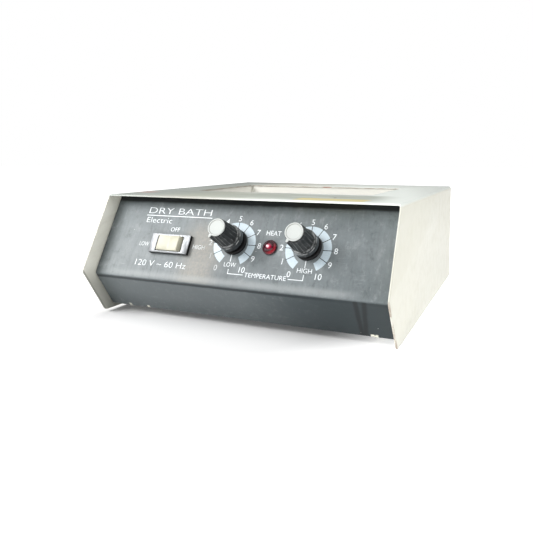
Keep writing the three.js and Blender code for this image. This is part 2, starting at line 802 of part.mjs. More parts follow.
// Snap-in appliance inlet with its three blades.
function powerInlet() {
  const outside = REAR.y + FIT + INLET.flange;
  const inside = REAR.y - INLET.depth;
  const flangeLow = [-INLET.flangeX, REAR.y + FIT, -INLET.flangeZ];
  let body = box(flangeLow, [INLET.flangeX, outside, INLET.flangeZ]);
  body = body.add(box([-INLET.bodyX, inside, -INLET.bodyZ], [INLET.bodyX, outside, INLET.bodyZ]));
  const mouthLow = [-INLET.mouthX, outside - INLET.mouthDepth, -INLET.mouthZ];
  body = body.subtract(box(mouthLow, [INLET.mouthX, outside + OVERCUT, INLET.mouthZ]));
  const pins = [
    [-INLET.pinRow, -INLET.pinZ],
    [0, INLET.pinZ],
    [INLET.pinRow, -INLET.pinZ],
  ];
  for (const [x, z] of pins) {
    const low = [x - INLET.pinX, outside - INLET.mouthDepth - OVERCUT, z - INLET.pinHalf];
    body = body.add(box(low, [x + INLET.pinX, outside - INLET.pinTip, z + INLET.pinHalf]));
  }
  const mesh = piece('power_inlet', body, 'black');
  mesh.position.set(INLET.x, 0, INLET.z);
  return mesh;
}

// Middle of one of the terminal block's slots.
const slotX = (slot) => BLOCK.x + (slot - (BLOCK.slots - 1) / 2) * ((2 * BLOCK.halfX) / BLOCK.slots);

function terminalBlock() {
  const { x, y, halfX, halfY, height, slots, slotHalf, slotDepth } = BLOCK;
  const bottom = FLOOR_TOP + FIT;
  let body = box([x - halfX, y - halfY, bottom], [x + halfX, y + halfY, bottom + height]);
  for (let slot = 0; slot < slots; slot += 1) {
    const low = [slotX(slot) - slotHalf, y - halfY - OVERCUT, bottom + height - slotDepth];
    body = body.subtract(box(low, [slotX(slot) + slotHalf, y + halfY + OVERCUT, bottom + height + OVERCUT]));
  }
  return piece('terminal_block', body, 'black');
}

const vector = (x, y, z) => new THREE.Vector3(x, y, z);
const THERMOSTAT_BACK = -SHEET - TURNED_FIT - THERMOSTAT.depth - WIRE.gap;
const SWITCH_BACK = -SWITCH.depth - WIRE.gap;

// Thermostat bulb clipped under the heater plate, with the capillary that reaches it.
function sensorCapillary(name, side) {
  const x = side * BULB.x;
  const z = PLATE.topZ - PLATE.thickness - FIT - BULB.radius;
  const bulbFront = WELL_MID_Y - BULB.half;
  const bulb = bar(BULB.radius, -BULB.half, BULB.half, 0, 0, SMALL_ROUND).rotate([90, 0, 0]);
  const tail = [DIALS[name] + side * CAPILLARY.x, DIAL_UP - CAPILLARY.up];
  const out = panelPoint(...tail, THERMOSTAT_BACK - CAPILLARY.lead);
  const route = [
    panelPoint(...tail, THERMOSTAT_BACK),
    out,
    vector((out.x + x) / 2, WELL.frontY - CAPILLARY.lowY, z - CAPILLARY.drop),
    vector(x, WELL.frontY, z),
    vector(x, bulbFront + CAPILLARY.bulbEnd, z),
  ];
  const body = bulb.translate([x, WELL_MID_Y, z]).add(tube(route, CAPILLARY.radius));
  return piece(`sensor_bulb_${name}`, body, 'copper');
}

// A wire's end on a terminal, and the end of its straight lead away from it.
function terminalOnPanel(x, up, out) {
  return { end: panelPoint(x, up, out), lead: panelPoint(x, up, out - WIRE.lead) };
}

function terminalFacingFront(x, y, z) {
  return { end: vector(x, y, z), lead: vector(x, y - WIRE.lead, z) };
}

function wire(name, from, via, to) {
  const points = [from.end, from.lead, ...via.map((point) => vector(...point)), to.lead, to.end];
  return piece(`wire_${name}`, tube(points, WIRE.radius), 'wire');
}

const atThermostat = (name, dx, dup) => terminalOnPanel(DIALS[name] + dx, DIAL_UP + dup, THERMOSTAT_BACK);
const atSwitch = (dx) => terminalOnPanel(SWITCH.x + dx, SWITCH.up, SWITCH_BACK);
const atInlet = (dx, dz) => {
  return terminalFacingFront(INLET.x + dx, REAR.y - INLET.depth - WIRE.gap, INLET.z + dz);
};

function atBlock(slot) {
  const z = FLOOR_TOP + FIT + BLOCK.height - BLOCK.slotDepth + WIRE.radius + TURNED_FIT;
  const point = terminalFacingFront(slotX(slot), BLOCK.y, z);
  point.lead.y -= BLOCK.halfY;
  return point;
}

function atElement() {
  const y = WELL_MID_Y - ELEMENT.halfY - ELEMENT.terminal - WIRE.gap;
  return terminalFacingFront(ELEMENT.halfX / 2, y, ELEMENT_TOP - WIRE.radius - TURNED_FIT);
}

// Supply, switch, thermostat, element and lamp leads, each from terminal to terminal.
function wires() {
  const { x, up, spread, edge } = TERMINAL;
  const lamp = terminalOnPanel(LAMP.x, LAMP.up, -LAMP.depth - WIRE.gap);
  return [
    wire('supply', atInlet(-INLET.pinRow, 0), VIA.supply, atSwitch(-spread)),
    wire('neutral', atInlet(INLET.pinRow, -2 * WIRE.radius), VIA.neutral, atBlock(0)),
    wire('to_low_thermostat', atSwitch(0), VIA.toLow, atThermostat('low', -x, up)),
    wire('to_high_thermostat', atSwitch(spread), VIA.toHigh, atThermostat('high', -x, up - edge)),
    wire('to_element', atThermostat('high', x, -edge), VIA.element, atElement()),
    wire('to_lamp', lamp, VIA.lamp, atThermostat('high', edge - x, 2 * up - edge)),
  ];
}

// ---- Assembly --------------------------------------------------------------------------

function controlPanel() {
  const group = new THREE.Group();
  group.position.set(0, PAN.noseY, PAN.noseZ);
  group.rotation.x = PANEL_ANGLE;
  Object.entries(DIALS).forEach(([name, x]) => group.add(temperatureControl(name, x)));
  group.add(rockerSwitch(), heatLamp());
  return group;
}

const heater = new THREE.Group();
heater.add(cover(), basePan(), rearPanel());
heater.add(wellLiner(), heaterPlate(), heatingElement(), elementClamp());
heater.add(insulationSlab(), insulationWrap(), thermalCutoff());
heater.add(...fasteners(), controlPanel());
heater.add(powerInlet(), terminalBlock());
heater.add(sensorCapillary('low', -1), sensorCapillary('high', 1), ...wires());

export default heater;
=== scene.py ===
"""Looks of the two-control dry block heater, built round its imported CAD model.

Lengths are in millimetres in the panel and mesh helpers, and in metres in the scene itself.
The control panel has a frame of its own: X to the right, Y up its face and Z out of it.
"""

import json
import math

import bmesh
import bpy
from mathutils import Matrix, Vector

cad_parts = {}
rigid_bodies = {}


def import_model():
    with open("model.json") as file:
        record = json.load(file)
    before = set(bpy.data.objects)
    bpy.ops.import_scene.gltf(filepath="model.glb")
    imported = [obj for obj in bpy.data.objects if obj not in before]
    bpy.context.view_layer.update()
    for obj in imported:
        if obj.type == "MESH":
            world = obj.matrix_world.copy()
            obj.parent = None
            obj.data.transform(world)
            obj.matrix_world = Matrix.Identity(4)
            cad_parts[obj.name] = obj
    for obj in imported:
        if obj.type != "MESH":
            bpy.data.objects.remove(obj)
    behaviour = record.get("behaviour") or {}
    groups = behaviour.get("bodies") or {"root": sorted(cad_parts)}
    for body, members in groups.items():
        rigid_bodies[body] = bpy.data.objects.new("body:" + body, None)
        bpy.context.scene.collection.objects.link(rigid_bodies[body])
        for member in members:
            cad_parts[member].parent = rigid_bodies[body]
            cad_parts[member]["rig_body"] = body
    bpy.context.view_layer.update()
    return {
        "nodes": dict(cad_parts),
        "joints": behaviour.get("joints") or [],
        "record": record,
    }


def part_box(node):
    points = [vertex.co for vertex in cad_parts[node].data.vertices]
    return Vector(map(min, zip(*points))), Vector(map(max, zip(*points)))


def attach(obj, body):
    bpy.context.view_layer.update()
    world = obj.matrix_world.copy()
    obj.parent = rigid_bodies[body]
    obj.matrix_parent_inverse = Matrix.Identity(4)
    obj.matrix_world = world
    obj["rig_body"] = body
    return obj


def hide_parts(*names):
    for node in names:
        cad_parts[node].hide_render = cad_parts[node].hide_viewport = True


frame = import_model()

MM = 0.001
JOINTS = {joint["name"]: joint for joint in frame["joints"]}
SLOT_OF = {row["node"]: row["material_slot"] for row in frame["record"]["subparts"]}

# ---- Driving dimensions, in millimetres ------------------------------------------------

DIAL_UP = 33.0  # height of the control axes up the panel's face
SCALE_UP = 31.6  # height of the printed scales' middles, a little below the axes
PRINT = {"low": 0.01, "high": 0.05}  # the printed legends stand this far off the panel
TICK = {"low": 0.01, "high": 0.07}

DIAL = {"inner": 11.0, "outer": 16.9, "tick_inner": 10.6, "tick_outer": 17.7, "tick": 0.45, "arc_steps": 8}
DIAL_STEPS = 10
NUMERAL = {"radius": 20.1, "end_radius": 21.6, "height": 4.2, "slant": 0.04}
INDEX_LINE = {"top": -7.2, "bottom": -13.4, "width": 0.6}
LINE_WIDTH = 0.5
NOSE_LINE = {"low": 31.2, "high": 33.3}  # heights of the dark line under the panel's bend
CHIPS = ((-99.3, 1.2), (-81.5, 1.2), (103.0, 2.6))  # middles and half lengths of the chips
CHIP_HEIGHTS = (4.8, 7.8)
RUNS = ((93.8, 0.1), (100.0, -0.95))  # middles and leans of the two dried runs
RUN = {"half": 1.6, "soft": 0.9, "slant": -0.11, "shift": 0.5}
SHEEN_ZONE = (-42, -14, -4, 44, 10)  # left, right, low, high and softness of the painted sheen on the panel
# Left, right, low, high and softnesses of the painted highlight just above the bend of the nose.
NOSE_HIGHLIGHT = (-100, 90, 0.5, 5, 14, 2)
WORN_INK = (  # left, right, low, high and softness where the legends are rubbed, and how much
    ((-27, -11, 4, 32, 4), 0.75),
    ((-40, -22, 22, 32, 4), 0.3),
    ((-90, -74, 22, 32, 4), 0.25),
)

KNOB = {
    "turns": 216, "ridges": 18, "ridge_height": 0.38, "ridge_power": 5,
    "bore": 3.3, "bore_depth": 19.0, "hollow": 8.2, "hollow_depth": 3.0,
    "skirt": 9.55, "skirt_height": 4.6, "step": 9.0, "step_height": 2.0, "slope": 0.2,
    "groove": 8.1, "groove_height": 0.9, "groove_slope": 0.15,
    "foot": 8.25, "tip": 6.9, "edge": 0.3, "rib": 8.6, "rib_half": 0.75,
    "rib_at_top": 0.9,  # what the rib stands out of the rounded top edge
    "rib_flat": 0.8,  # the rib is level up to this share of its half width
    "rib_foot": 1.3,  # and has sunk into the ridges at this one
}
CAP = {"turns": 96, "radius": 6.3, "rim": 0.8, "dish": 0.45, "edge": 0.18, "gap": 0.05}
NIB = {"root": 5.8, "tip": 8.35, "half": 1.15, "tip_half": 0.5, "below_top": 0.3}
NUT_COVER = {"edge": 0.7, "hole": 5.0, "roof": 0.6, "bore": 7.5, "easing": 0.2}
LENS = {"turns": 96, "flange": 5.5, "ring": 4.7, "dome": 3.9, "edge": 0.25, "dome_steps": 14}
LENS_HEIGHTS = {"flange": 1.0, "ring_foot": 1.35, "ring": 2.1, "dome": 2.3}
LENS_PAINTED_LIGHT = (  # place, reach and colour of the painted red glow and the painted pale highlight in the dome
    ((1.0, -0.5, 0), 2.5, (0.40, 0.004, 0.045)),
    ((0.2, -0.4, 0), 1.5, (0.95, 0.55, 0.62)),
)
BLADES = {
    "places": ((-7.0, -2.5), (0.0, 2.5), (7.0, -2.5)),
    "half_width": 1.05,
    "half_height": 2.05,
    "depths": (4.9, 15.9),
    "edge": 0.25,
}
ROUNDING = {"segments": 3, "angle": 30}

COVER_SETBACK = 31.8  # how far the top's front edge stands behind the nose of the sides
PLATE_OVERHANG = 4.5  # how far the heater plate reaches past the well opening
SIDE_NOSE = 38.0  # height of the nose of the cover's sides
LOWER_EDGE_NORMAL = (36.0, 23.5)  # square to the sides' lower front edge, along Y and Z
SIDE_SKIN = (0.2, 1.0)  # depths in a side between its outer and its inner marks
LEFT_FADE = (-112, -117)  # marks of the left side fade in between these places
PAN_FRONT = (-60, -90)  # the pan's front marks fade in between these places along Y
ON_PANEL = (-1.0, -0.3)  # heights off the panel's plane between which its marks fade in
UNDER_NOSE = (-0.8, -2.2)
TOP_MARKS = (  # left, right, near and far behind the top's front edge, softness; colour; strength
    ((40, 93, 5, 23, 1.5, 1.2), (0.80, 0.68, 0.32), 0.85),  # old tape glue
    ((-114, -101, 26, 42, 4, 8), (0.80, 0.34, 0.30), 0.35),  # pink mark
)
SPECK = (62, 64, 30, 34, 0.4, 0.6)

THINNED = {"title": 0.014, "script": 0.012, "plain": 0.002}  # letters drawn in by this much
WORDS = {  # text, place across and up the panel, height, width and thinning
    "legend_header": (
        ("DRY BATH", -56.0, 55.2, 5.0, 58.0, THINNED["title"]),
        ("Electric", -72.8, 47.0, 4.4, 24.0, THINNED["script"]),
    ),
    "legend_switch": (
        ("OFF", -55.5, 40.0, 3.5, 8.3),
        ("LOW", -80.4, 26.9, 3.3, 8.8),
        ("HIGH", -30.5, 27.2, 3.3, 10.4),
    ),
    "legend_controls": (
        ("HEAT", 28.3, 41.8, 3.5, 11.5),
        ("LOW", -0.8, 16.0, 3.3, 9.6),
        ("HIGH", 56.8, 16.2, 3.3, 10.9),
        ("TEMPERATURE", 28.5, 9.6, 3.2, 32.0),
    ),
    "legend_rating": (("120 V ~ 60 Hz", -60.2, 11.8, 4.6, 46.0, THINNED["title"]),),
}
LINES = {  # width and points of the lines printed with the words
    "legend_header": ((0.6, ((-86.4, 50.9), (-25.6, 50.9))),),
    "legend_controls": (
        (LINE_WIDTH, ((-1.1, 12.6), (-1.1, 9.3), (11.2, 9.3))),
        (LINE_WIDTH, ((45.9, 9.3), (56.8, 9.3), (56.8, 13.4))),
    ),
}

MIX_COLOURS, MIX_COLOUR = (6, 7), 2  # where a Mix node keeps its colours and their mixture
MIX_FLOATS = (2, 3)

FLOOR_HALF = 6.0
FLOOR_GLOW = {"near": 0.1, "far": 0.9, "from": (-35, -70, 0), "between": (96, 172)}
WORLD = {"lights": 0.18, "shows": 1.0}
SMEAR_ALONG = (0, 0.95, 0.31)  # direction in which the cover was wiped, and the one across it
SMEAR_ACROSS = (0, -0.31, 0.95)
SUN = {"place": (0.2, -0.35, 1.5), "strength": 1.12, "spread": 60}
SOFT_BOXES = {  # place, size and power
    "key": ((-0.535, -0.64, 0.577), (0.55, 0.45), 8.4),
    "right": ((1.2, -0.1, 0.55), (0.8, 0.8), 5.8),
}
LIT_POINT = (0, -0.05, 0.05)  # what every lamp is aimed at
CAMERA = {
    "place": (0.1946, -0.4480, 0.1252),
    "yaw": 23.16,
    "pitch": 4.12,
    "sensor": 36.0,
    "lens": 36.8,
    "shift": (-0.0563, -0.1313),
}


# ---- Frame helpers ---------------------------------------------------------------------


def panel_matrix():
    """The panel's frame in millimetres, from the joints' axes and the pan's outermost plane."""
    knob = JOINTS["knob_low_turn"]
    out = -Vector(knob["axis"]).normalized()
    up = Vector(JOINTS["rocker_tilt"]["axis"]).normalized()
    dial = Vector(knob["pos_m"])
    face = max(vertex.co.dot(out) for vertex in frame["nodes"]["base_pan"].data.vertices)
    origin = dial - out * (dial.dot(out) - face) - up * DIAL_UP * MM
    origin.x = 0
    turn = Matrix((up.cross(out), up, out)).transposed().to_4x4()
    return Matrix.Translation(origin) @ turn @ Matrix.Scale(MM, 4)


PANEL = panel_matrix()
TO_PANEL = PANEL.inverted()


def corners(points):
    """The lowest and the highest corner of the box round some points."""
    return [Vector(end(point[axis] for point in points) for axis in range(3)) for end in (min, max)]


def panel_box(node):
    """Lowest and highest corner of a CAD node in the panel's frame."""
    return corners([TO_PANEL @ vertex.co for vertex in frame["nodes"][node].data.vertices])


def dial_middle(name):
    return TO_PANEL @ Vector(JOINTS[f"knob_{name}_turn"]["pos_m"])


def at_dial(name):
    """The panel's frame moved to a control's axis."""
    middle = dial_middle(name)
    return PANEL @ Matrix.Translation((middle.x, middle.y, 0))


def pointer_angle(name):
    """At rest the pointer stands half the knob's travel to the left of straight up."""
    low, high = JOINTS[f"knob_{name}_turn"]["range_deg"]
    return -math.radians(high - low) / 2


# ---- Mesh helpers ----------------------------------------------------------------------


def link_mesh(name, mesh, matrix=None):
    if matrix is not None:
        mesh.transform(matrix)
    piece = bpy.data.objects.new(name, mesh)
    bpy.context.scene.collection.objects.link(piece)
    return piece


def mesh_from(name, build):
    """A mesh made by a function that fills a bmesh."""
    mesh = bpy.data.meshes.new(name)
    work = bmesh.new()
    build(work)
    bmesh.ops.recalc_face_normals(work, faces=work.faces)
    work.to_mesh(mesh)
    work.free()
    return mesh


def smooth(mesh, degrees):
    mesh.shade_smooth()
    mesh.set_sharp_from_angle(angle=math.radians(degrees))
    return mesh


def rounded(piece, width):
    """Rounds the sharp edges of a piece and keeps its flat faces flat."""
    piece.data.shade_smooth()
    bevel = piece.modifiers.new("edges", "BEVEL")
    bevel.width = width * MM
    bevel.segments = ROUNDING["segments"]
    bevel.limit_method = "ANGLE"
    bevel.angle_limit = math.radians(ROUNDING["angle"])
    bevel.harden_normals = True
    depsgraph = bpy.context.evaluated_depsgraph_get()
    final = bpy.data.meshes.new_from_object(piece.evaluated_get(depsgraph), depsgraph=depsgraph)
    piece.modifiers.clear()
    piece.data = final
    return piece


def slab(work, outline, low, high):
    """A closed flat prism of (x, y) points between two heights."""
    face = work.faces.new([work.verts.new((x, y, low)) for x, y in outline])
    grown = bmesh.ops.extrude_face_region(work, geom=[face])["geom"]
    top = [item for item in grown if isinstance(item, bmesh.types.BMVert)]
    bmesh.ops.translate(work, verts=top, vec=(0, 0, high - low))


def ribbon(points, width):
    """The outline of a line of constant width through points, with mitred corners."""
    points = [Vector(point) for point in points]
    left, right = [], []
    for index, point in enumerate(points):
        along = []
        if index > 0:
            along.append((point - points[index - 1]).normalized())
        if index < len(points) - 1:
            along.append((points[index + 1] - point).normalized())
        across = [Vector((-step.y, step.x)) for step in along]
        middle = sum(across, Vector((0, 0))).normalized()
        reach = middle * (width / 2 / middle.dot(across[0]))
        left.append(point + reach)
        right.append(point - reach)
    return [tuple(point) for point in left + right[::-1]]


def skin_rings(work, rings):
    """Closed skin through rings of equally many points; a ring of one point closes an end."""
    made = [[work.verts.new(point) for point in ring] for ring in rings]
    for lower, upper in zip(made, made[1:] + made[:1]):
        if len(lower) == 1 and len(upper) == 1:
            continue
        count = max(len(lower), len(upper))
        for index in range(count):
            following = (index + 1) % count
            around = [lower[index % len(lower)], lower[following % len(lower)]]
            around += [upper[following % len(upper)], upper[index % len(upper)]]
            work.faces.new(list(dict.fromkeys(around)))


def circle(radius, z, count):
    if radius == 0:
        return [(0, 0, z)]
    turns = [2 * math.pi * index / count for index in range(count)]
    return [(radius * math.sin(turn), radius * math.cos(turn), z) for turn in turns]


def lathe(name, outline, count):
    """A turned mesh about Z from (radius, z) points that start and end on the axis or close up."""
    return mesh_from(name, lambda work: skin_rings(work, [circle(r, z, count) for r, z in outline]))


def eased(outline, radius, steps=4):
    """The outline with each corner between two long stretches rounded by an arc."""
    path = []
    for index, corner in enumerate(outline):
        here = Vector(corner)
        before = Vector(outline[index - 1]) - here
        after = Vector(outline[(index + 1) % len(outline)]) - here
        reach = min(radius, before.length * 0.45, after.length * 0.45)
        if here.x == 0 or reach < 1e-4:
            path.append(corner)
            continue
        start = here + before.normalized() * reach
        end = here + after.normalized() * reach
        for step in range(steps + 1):
            t = step / steps
            path.append(tuple(start * (1 - t) ** 2 + here * 2 * t * (1 - t) + end * t**2))
    return path


# ---- Materials -------------------------------------------------------------------------


class Paint:
    """A Principled material built up from procedural masks, with lengths in millimetres."""

    def __init__(self, name, colour, roughness, metallic=0.0, **fixed):
        self.material = bpy.data.materials.new(name)
        self.material.use_nodes = True
        self.tree = self.material.node_tree
        self.shader = self.tree.nodes["Principled BSDF"]
        self.shader.inputs["Metallic"].default_value = metallic
        for socket, value in fixed.items():
            self.shader.inputs[socket.replace("_", " ")].default_value = value
        self.colour = (*colour, 1.0)
        self.roughness = roughness
        self.relief = 0.0
        texture = self.node("ShaderNodeTexCoord")
        self.place = self.vector("SCALE", texture.outputs["Object"], scale=1 / MM)

    def node(self, kind, **settings):
        made = self.tree.nodes.new(kind)
        for name, value in settings.items():
            setattr(made, name, value)
        return made

    def put(self, socket, value):
        """Links a socket to another one, or sets its plain value."""
        if isinstance(value, bpy.types.NodeSocket):
            self.tree.links.new(value, socket)
        else:
            socket.default_value = value

    def vector(self, operation, first, second=None, scale=None):
        made = self.node("ShaderNodeVectorMath", operation=operation)
        self.put(made.inputs[0], first)
        if second is not None:
            self.put(made.inputs[1], second)
        if scale is not None:
            self.put(made.inputs["Scale"], scale)
        return made.outputs["Value" if operation in ("DOT_PRODUCT", "LENGTH", "DISTANCE") else "Vector"]

    def math(self, operation, first, second=0.0, third=None):
        made = self.node("ShaderNodeMath", operation=operation)
        self.put(made.inputs[0], first)
        self.put(made.inputs[1], second)
        if third is not None:
            self.put(made.inputs[2], third)
        return made.outputs[0]

    def axes(self):
        made = self.node("ShaderNodeSeparateXYZ")
        self.put(made.inputs[0], self.place)
        return made.outputs["X"], made.outputs["Y"], made.outputs["Z"]

    def panel_axes(self):
        """Position across, up and out of the control panel."""
        origin = PANEL.translation / MM
        offset = self.vector("SUBTRACT", self.place, tuple(origin))
        columns = [PANEL.col[index].to_3d().normalized() for index in range(3)]
        return [self.vector("DOT_PRODUCT", offset, tuple(column)) for column in columns]

    def joined(self, x, y, z=0.0):
        made = self.node("ShaderNodeCombineXYZ")
        for socket, value in zip(made.inputs, (x, y, z)):
            self.put(socket, value)
        return made.outputs[0]

    def noise(self, size, detail=3.0, stretch=(1, 1, 1), offset=0.0, place=None, rough=0.5):
        """Noise from 0 to 1 with features of about the size given, made longer by stretch."""
        scaled = self.vector("MULTIPLY", place or self.place, tuple(1 / (size * s) for s in stretch))
        moved = self.vector("ADD", scaled, (offset, offset * 0.7, -offset))
        made = self.node("ShaderNodeTexNoise")
        self.put(made.inputs["Vector"], moved)
        self.put(made.inputs["Scale"], 1.0)
        self.put(made.inputs["Detail"], detail)
        self.put(made.inputs["Roughness"], rough)
        return made.outputs["Fac"]

    def specks(self, size, radius, offset=0.0):
        """Sparse round spots: 1 inside a spot, 0 outside."""
        made = self.node("ShaderNodeTexVoronoi")
        moved = self.vector("ADD", self.place, (offset, -offset, offset * 0.3))
        self.put(made.inputs["Vector"], moved)
        self.put(made.inputs["Scale"], 1 / size)
        return self.rise(made.outputs["Distance"], radius / size, radius / size * 0.6)

    def rise(self, value, low, high, top=1.0):
        """0 below low and top above high, with a smooth way between them."""
        made = self.node("ShaderNodeMapRange", interpolation_type="SMOOTHSTEP")
        falling = low > high
        self.put(made.inputs["Value"], value)
        self.put(made.inputs["From Min"], high if falling else low)
        self.put(made.inputs["From Max"], low if falling else high)
        self.put(made.inputs["To Min"], top if falling else 0.0)
        self.put(made.inputs["To Max"], 0.0 if falling else top)
        return made.outputs["Result"]

    def within(self, value, low, high, soft):
        """1 where a value lies between two limits, with soft ends."""
        rising = self.rise(value, low - soft, low + soft)
        falling = self.rise(value, high + soft, high - soft)
        return self.math("MULTIPLY", rising, falling)

    def zone(self, x, y, left, right, low, high, soft, soft_y=None):
        """1 inside a rectangle of two coordinates, with soft edges."""
        upwards = self.within(y, low, high, soft_y or soft)
        return self.both(self.within(x, left, right, soft), upwards)

    def both(self, *masks):
        whole = masks[0]
        for mask in masks[1:]:
            whole = self.math("MULTIPLY", whole, mask)
        return whole

    def wavered(self, value, size, reach, offset=0.0):
        """A coordinate shaken by noise, so that what it bounds gets an uneven edge."""
        shake = self.math("SUBTRACT", self.noise(size, offset=offset), 0.5)
        return self.math("ADD", value, self.math("MULTIPLY", shake, 2 * reach))

    def tint(self, mask, colour, strength=1.0):
        """Lays a colour over the paint where the mask is 1, as thickly as the strength says."""
        if strength != 1.0:
            mask = self.math("MULTIPLY", mask, strength)
        made = self.node("ShaderNodeMix", data_type="RGBA")
        self.put(made.inputs[0], mask)
        for index, part in zip(MIX_COLOURS, (self.colour, (*colour, 1.0))):
            self.put(made.inputs[index], part)
        self.colour = made.outputs[MIX_COLOUR]

    def mottle(self, limits, colour, size, **settings):
        """Tints the paint where noise rises between limits, up to a strength if a third is given."""
        grain = self.noise(size, **settings)
        self.tint(self.rise(grain, *limits), colour)
        return grain

    def gloss(self, mask, roughness):
        """Gives the surface another roughness where the mask is 1."""
        made = self.node("ShaderNodeMix", data_type="FLOAT")
        self.put(made.inputs[0], mask)
        for index, part in zip(MIX_FLOATS, (self.roughness, roughness)):
            self.put(made.inputs[index], part)
        self.roughness = made.outputs[0]

    def relieve(self, mask, height):
        """Raises the surface by a height in millimetres where the mask is 1."""
        self.relief = self.math("ADD", self.math("MULTIPLY", mask, height), self.relief)

    def done(self):
        self.put(self.shader.inputs["Base Color"], self.colour)
        self.put(self.shader.inputs["Roughness"], self.roughness)
        if isinstance(self.relief, bpy.types.NodeSocket):
            bump = self.node("ShaderNodeBump")
            self.put(bump.inputs["Distance"], MM)
            self.put(bump.inputs["Height"], self.relief)
            self.put(self.shader.inputs["Normal"], bump.outputs["Normal"])
        return self.material


KNOB_SKIRT_TOP = panel_box("knob_low")[0].z + KNOB["skirt_height"]
KNOB_STEP_TOP = KNOB_SKIRT_TOP + KNOB["step_height"]
WELL_LOW, WELL_HIGH = (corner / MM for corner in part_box("heater_plate"))
COVER_LOW, COVER_HIGH = (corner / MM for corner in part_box("cover"))


def cream_paint():
    """Stoved cream paint, smeared and scuffed, with rust where the well opening was cut."""
    paint = Paint("cream_paint", (0.70, 0.69, 0.60), 0.36, Specular_IOR_Level=0.5)
    x, y, z = paint.axes()
    along = paint.vector("DOT_PRODUCT", paint.place, SMEAR_ALONG)
    across = paint.vector("DOT_PRODUCT", paint.place, SMEAR_ACROSS)
    leaning = paint.joined(x, along, across)
    paint.mottle(
        (0.35, 0.75, 0.6), (0.80, 0.80, 0.75), 26, detail=5, stretch=(1, 3, 1), place=leaning, offset=3.1
    )
    paint.mottle((0.5, 0.8, 0.4), (0.70, 0.66, 0.50), 60, detail=3, offset=9.4)
    paint.mottle(
        (0.46, 0.75, 0.5), (0.57, 0.56, 0.49), 6,
        detail=5, stretch=(1, 5, 1), place=leaning, offset=14.5, rough=0.65,
    )
    grime = paint.mottle((0.62, 0.85, 0.25), (0.52, 0.50, 0.43), 9, detail=6, offset=1.7, rough=0.65)
    paint.gloss(paint.rise(grime, 0.4, 0.75), 0.52)
    paint.relieve(paint.noise(0.9, detail=2), 0.012)
    paint.relieve(paint.noise(6, detail=2, offset=5.0), 0.03)
    outer, inner = SIDE_SKIN
    inside = paint.rise(x, COVER_LOW.x + outer, COVER_LOW.x + inner)
    # Painted shade: the inner face of the left side is darker towards the floor.
    shaded_inner_left = paint.both(inside, paint.rise(x, *LEFT_FADE), paint.rise(z, 46, 22))
    paint.tint(shaded_inner_left, (0.37, 0.37, 0.33), 0.8)
    # Painted shade: the outer face of the right side is painted darker than the rest of the cover.
    outside = paint.rise(x, COVER_HIGH.x - inner, COVER_HIGH.x - outer)
    shaded_right_side = paint.both(outside, paint.rise(z, COVER_HIGH.z, COVER_HIGH.z - 1.5))
    paint.tint(shaded_right_side, (0.575, 0.57, 0.49), 0.75)
    front = COVER_LOW.y + COVER_SETBACK
    lip = paint.both(paint.rise(y, front + 0.5, front), on_top(paint, z))
    paint.tint(lip, (0.29, 0.285, 0.235), 0.85)
    marks_on_top(paint, x, y, z)
    inside_of_well(paint, x, y, z)
    wear_at_front(paint, x, y, z)
    return paint.done()


def on_top(paint, z):
    return paint.rise(z, COVER_HIGH.z - 2.6, COVER_HIGH.z - 0.6)


def marks_on_top(paint, x, y, z):
    """Wiped dirt, a strip of old tape glue near the front edge, a pink mark and a dark speck."""
    front = COVER_LOW.y + COVER_SETBACK
    top = on_top(paint, z)
    wiped = paint.noise(4, detail=5, stretch=(12, 1, 1), offset=4.4, rough=0.6)
    in_front = paint.within(paint.wavered(y, 20, 6, 1.5), front + 6, WELL_LOW.y - 2, 6)
    # Painted light: the top is painted paler towards the right, where more light falls.
    paler = paint.both(top, paint.rise(paint.wavered(x, 30, 14, 5.0), -60, 50))
    paint.tint(paler, (0.92, 0.97, 0.92), 0.92)
    streaks = paint.math("ADD", 0.4, paint.rise(wiped, 0.25, 0.75, 0.6))
    dirt = paint.both(top, in_front, streaks, paint.rise(x, 112, 84))
    paint.tint(dirt, (0.42, 0.455, 0.385))
    rubbed = paint.both(top, paint.rise(wiped, 0.55, 0.75, 0.4))
    paint.tint(rubbed, (0.84, 0.86, 0.83))
    left = paint.both(top, paint.rise(paint.wavered(x, 30, 14, 2.0), -30, -105))
    paint.tint(left, (0.385, 0.42, 0.395), 0.88)
    behind = paint.math("SUBTRACT", y, front)
    across = paint.wavered(x, 9, 3, 2.2)
    along = paint.wavered(behind, 7, 2.4, 7.9)
    for limits, colour, strength in TOP_MARKS:
        paint.tint(paint.both(top, paint.zone(across, along, *limits)), colour, strength)
    paint.tint(paint.both(top, paint.zone(x, behind, *SPECK)), (0.12, 0.09, 0.07))


def inside_of_well(paint, x, y, z):
    """Walls painted paler as painted light, and a thin brown line along the cut edges with a redder spot at
    the back.
    """
    middle = (WELL_LOW + WELL_HIGH) / 2
    half = (WELL_HIGH - WELL_LOW) / 2 - Vector((PLATE_OVERHANG, PLATE_OVERHANG, 0))
    past_x = paint.math("SUBTRACT", paint.math("ABSOLUTE", x), half.x)
    past_y = paint.math("SUBTRACT", paint.math("ABSOLUTE", paint.math("SUBTRACT", y, middle.y)), half.y)
    outside = paint.math("MAXIMUM", past_x, past_y)
    painted_light_walls = paint.both(paint.rise(outside, 1.6, 0.8), paint.rise(z, COVER_HIGH.z - 0.5, COVER_HIGH.z - 1.5))
    paint.tint(painted_light_walls, (0.92, 0.91, 0.85), 0.85)
    edge = paint.both(on_top(paint, z), paint.within(outside, -0.3, 0.1, 0.25))
    thin = paint.both(edge, paint.within(z, COVER_HIGH.z - 1.0, COVER_HIGH.z - 0.3, 0.2))
    patchy = paint.rise(paint.noise(11, detail=5, offset=6.6), 0.38, 0.6)
    rust = paint.math("MULTIPLY", thin, paint.math("ADD", 0.3, paint.math("MULTIPLY", patchy, 0.5)))
    paint.tint(rust, (0.30, 0.16, 0.09))
    spot = paint.both(edge, paint.within(x, 1, 10, 2), paint.rise(y, middle.y, middle.y + 5))
    paint.tint(spot, (0.45, 0.10, 0.05), 0.7)


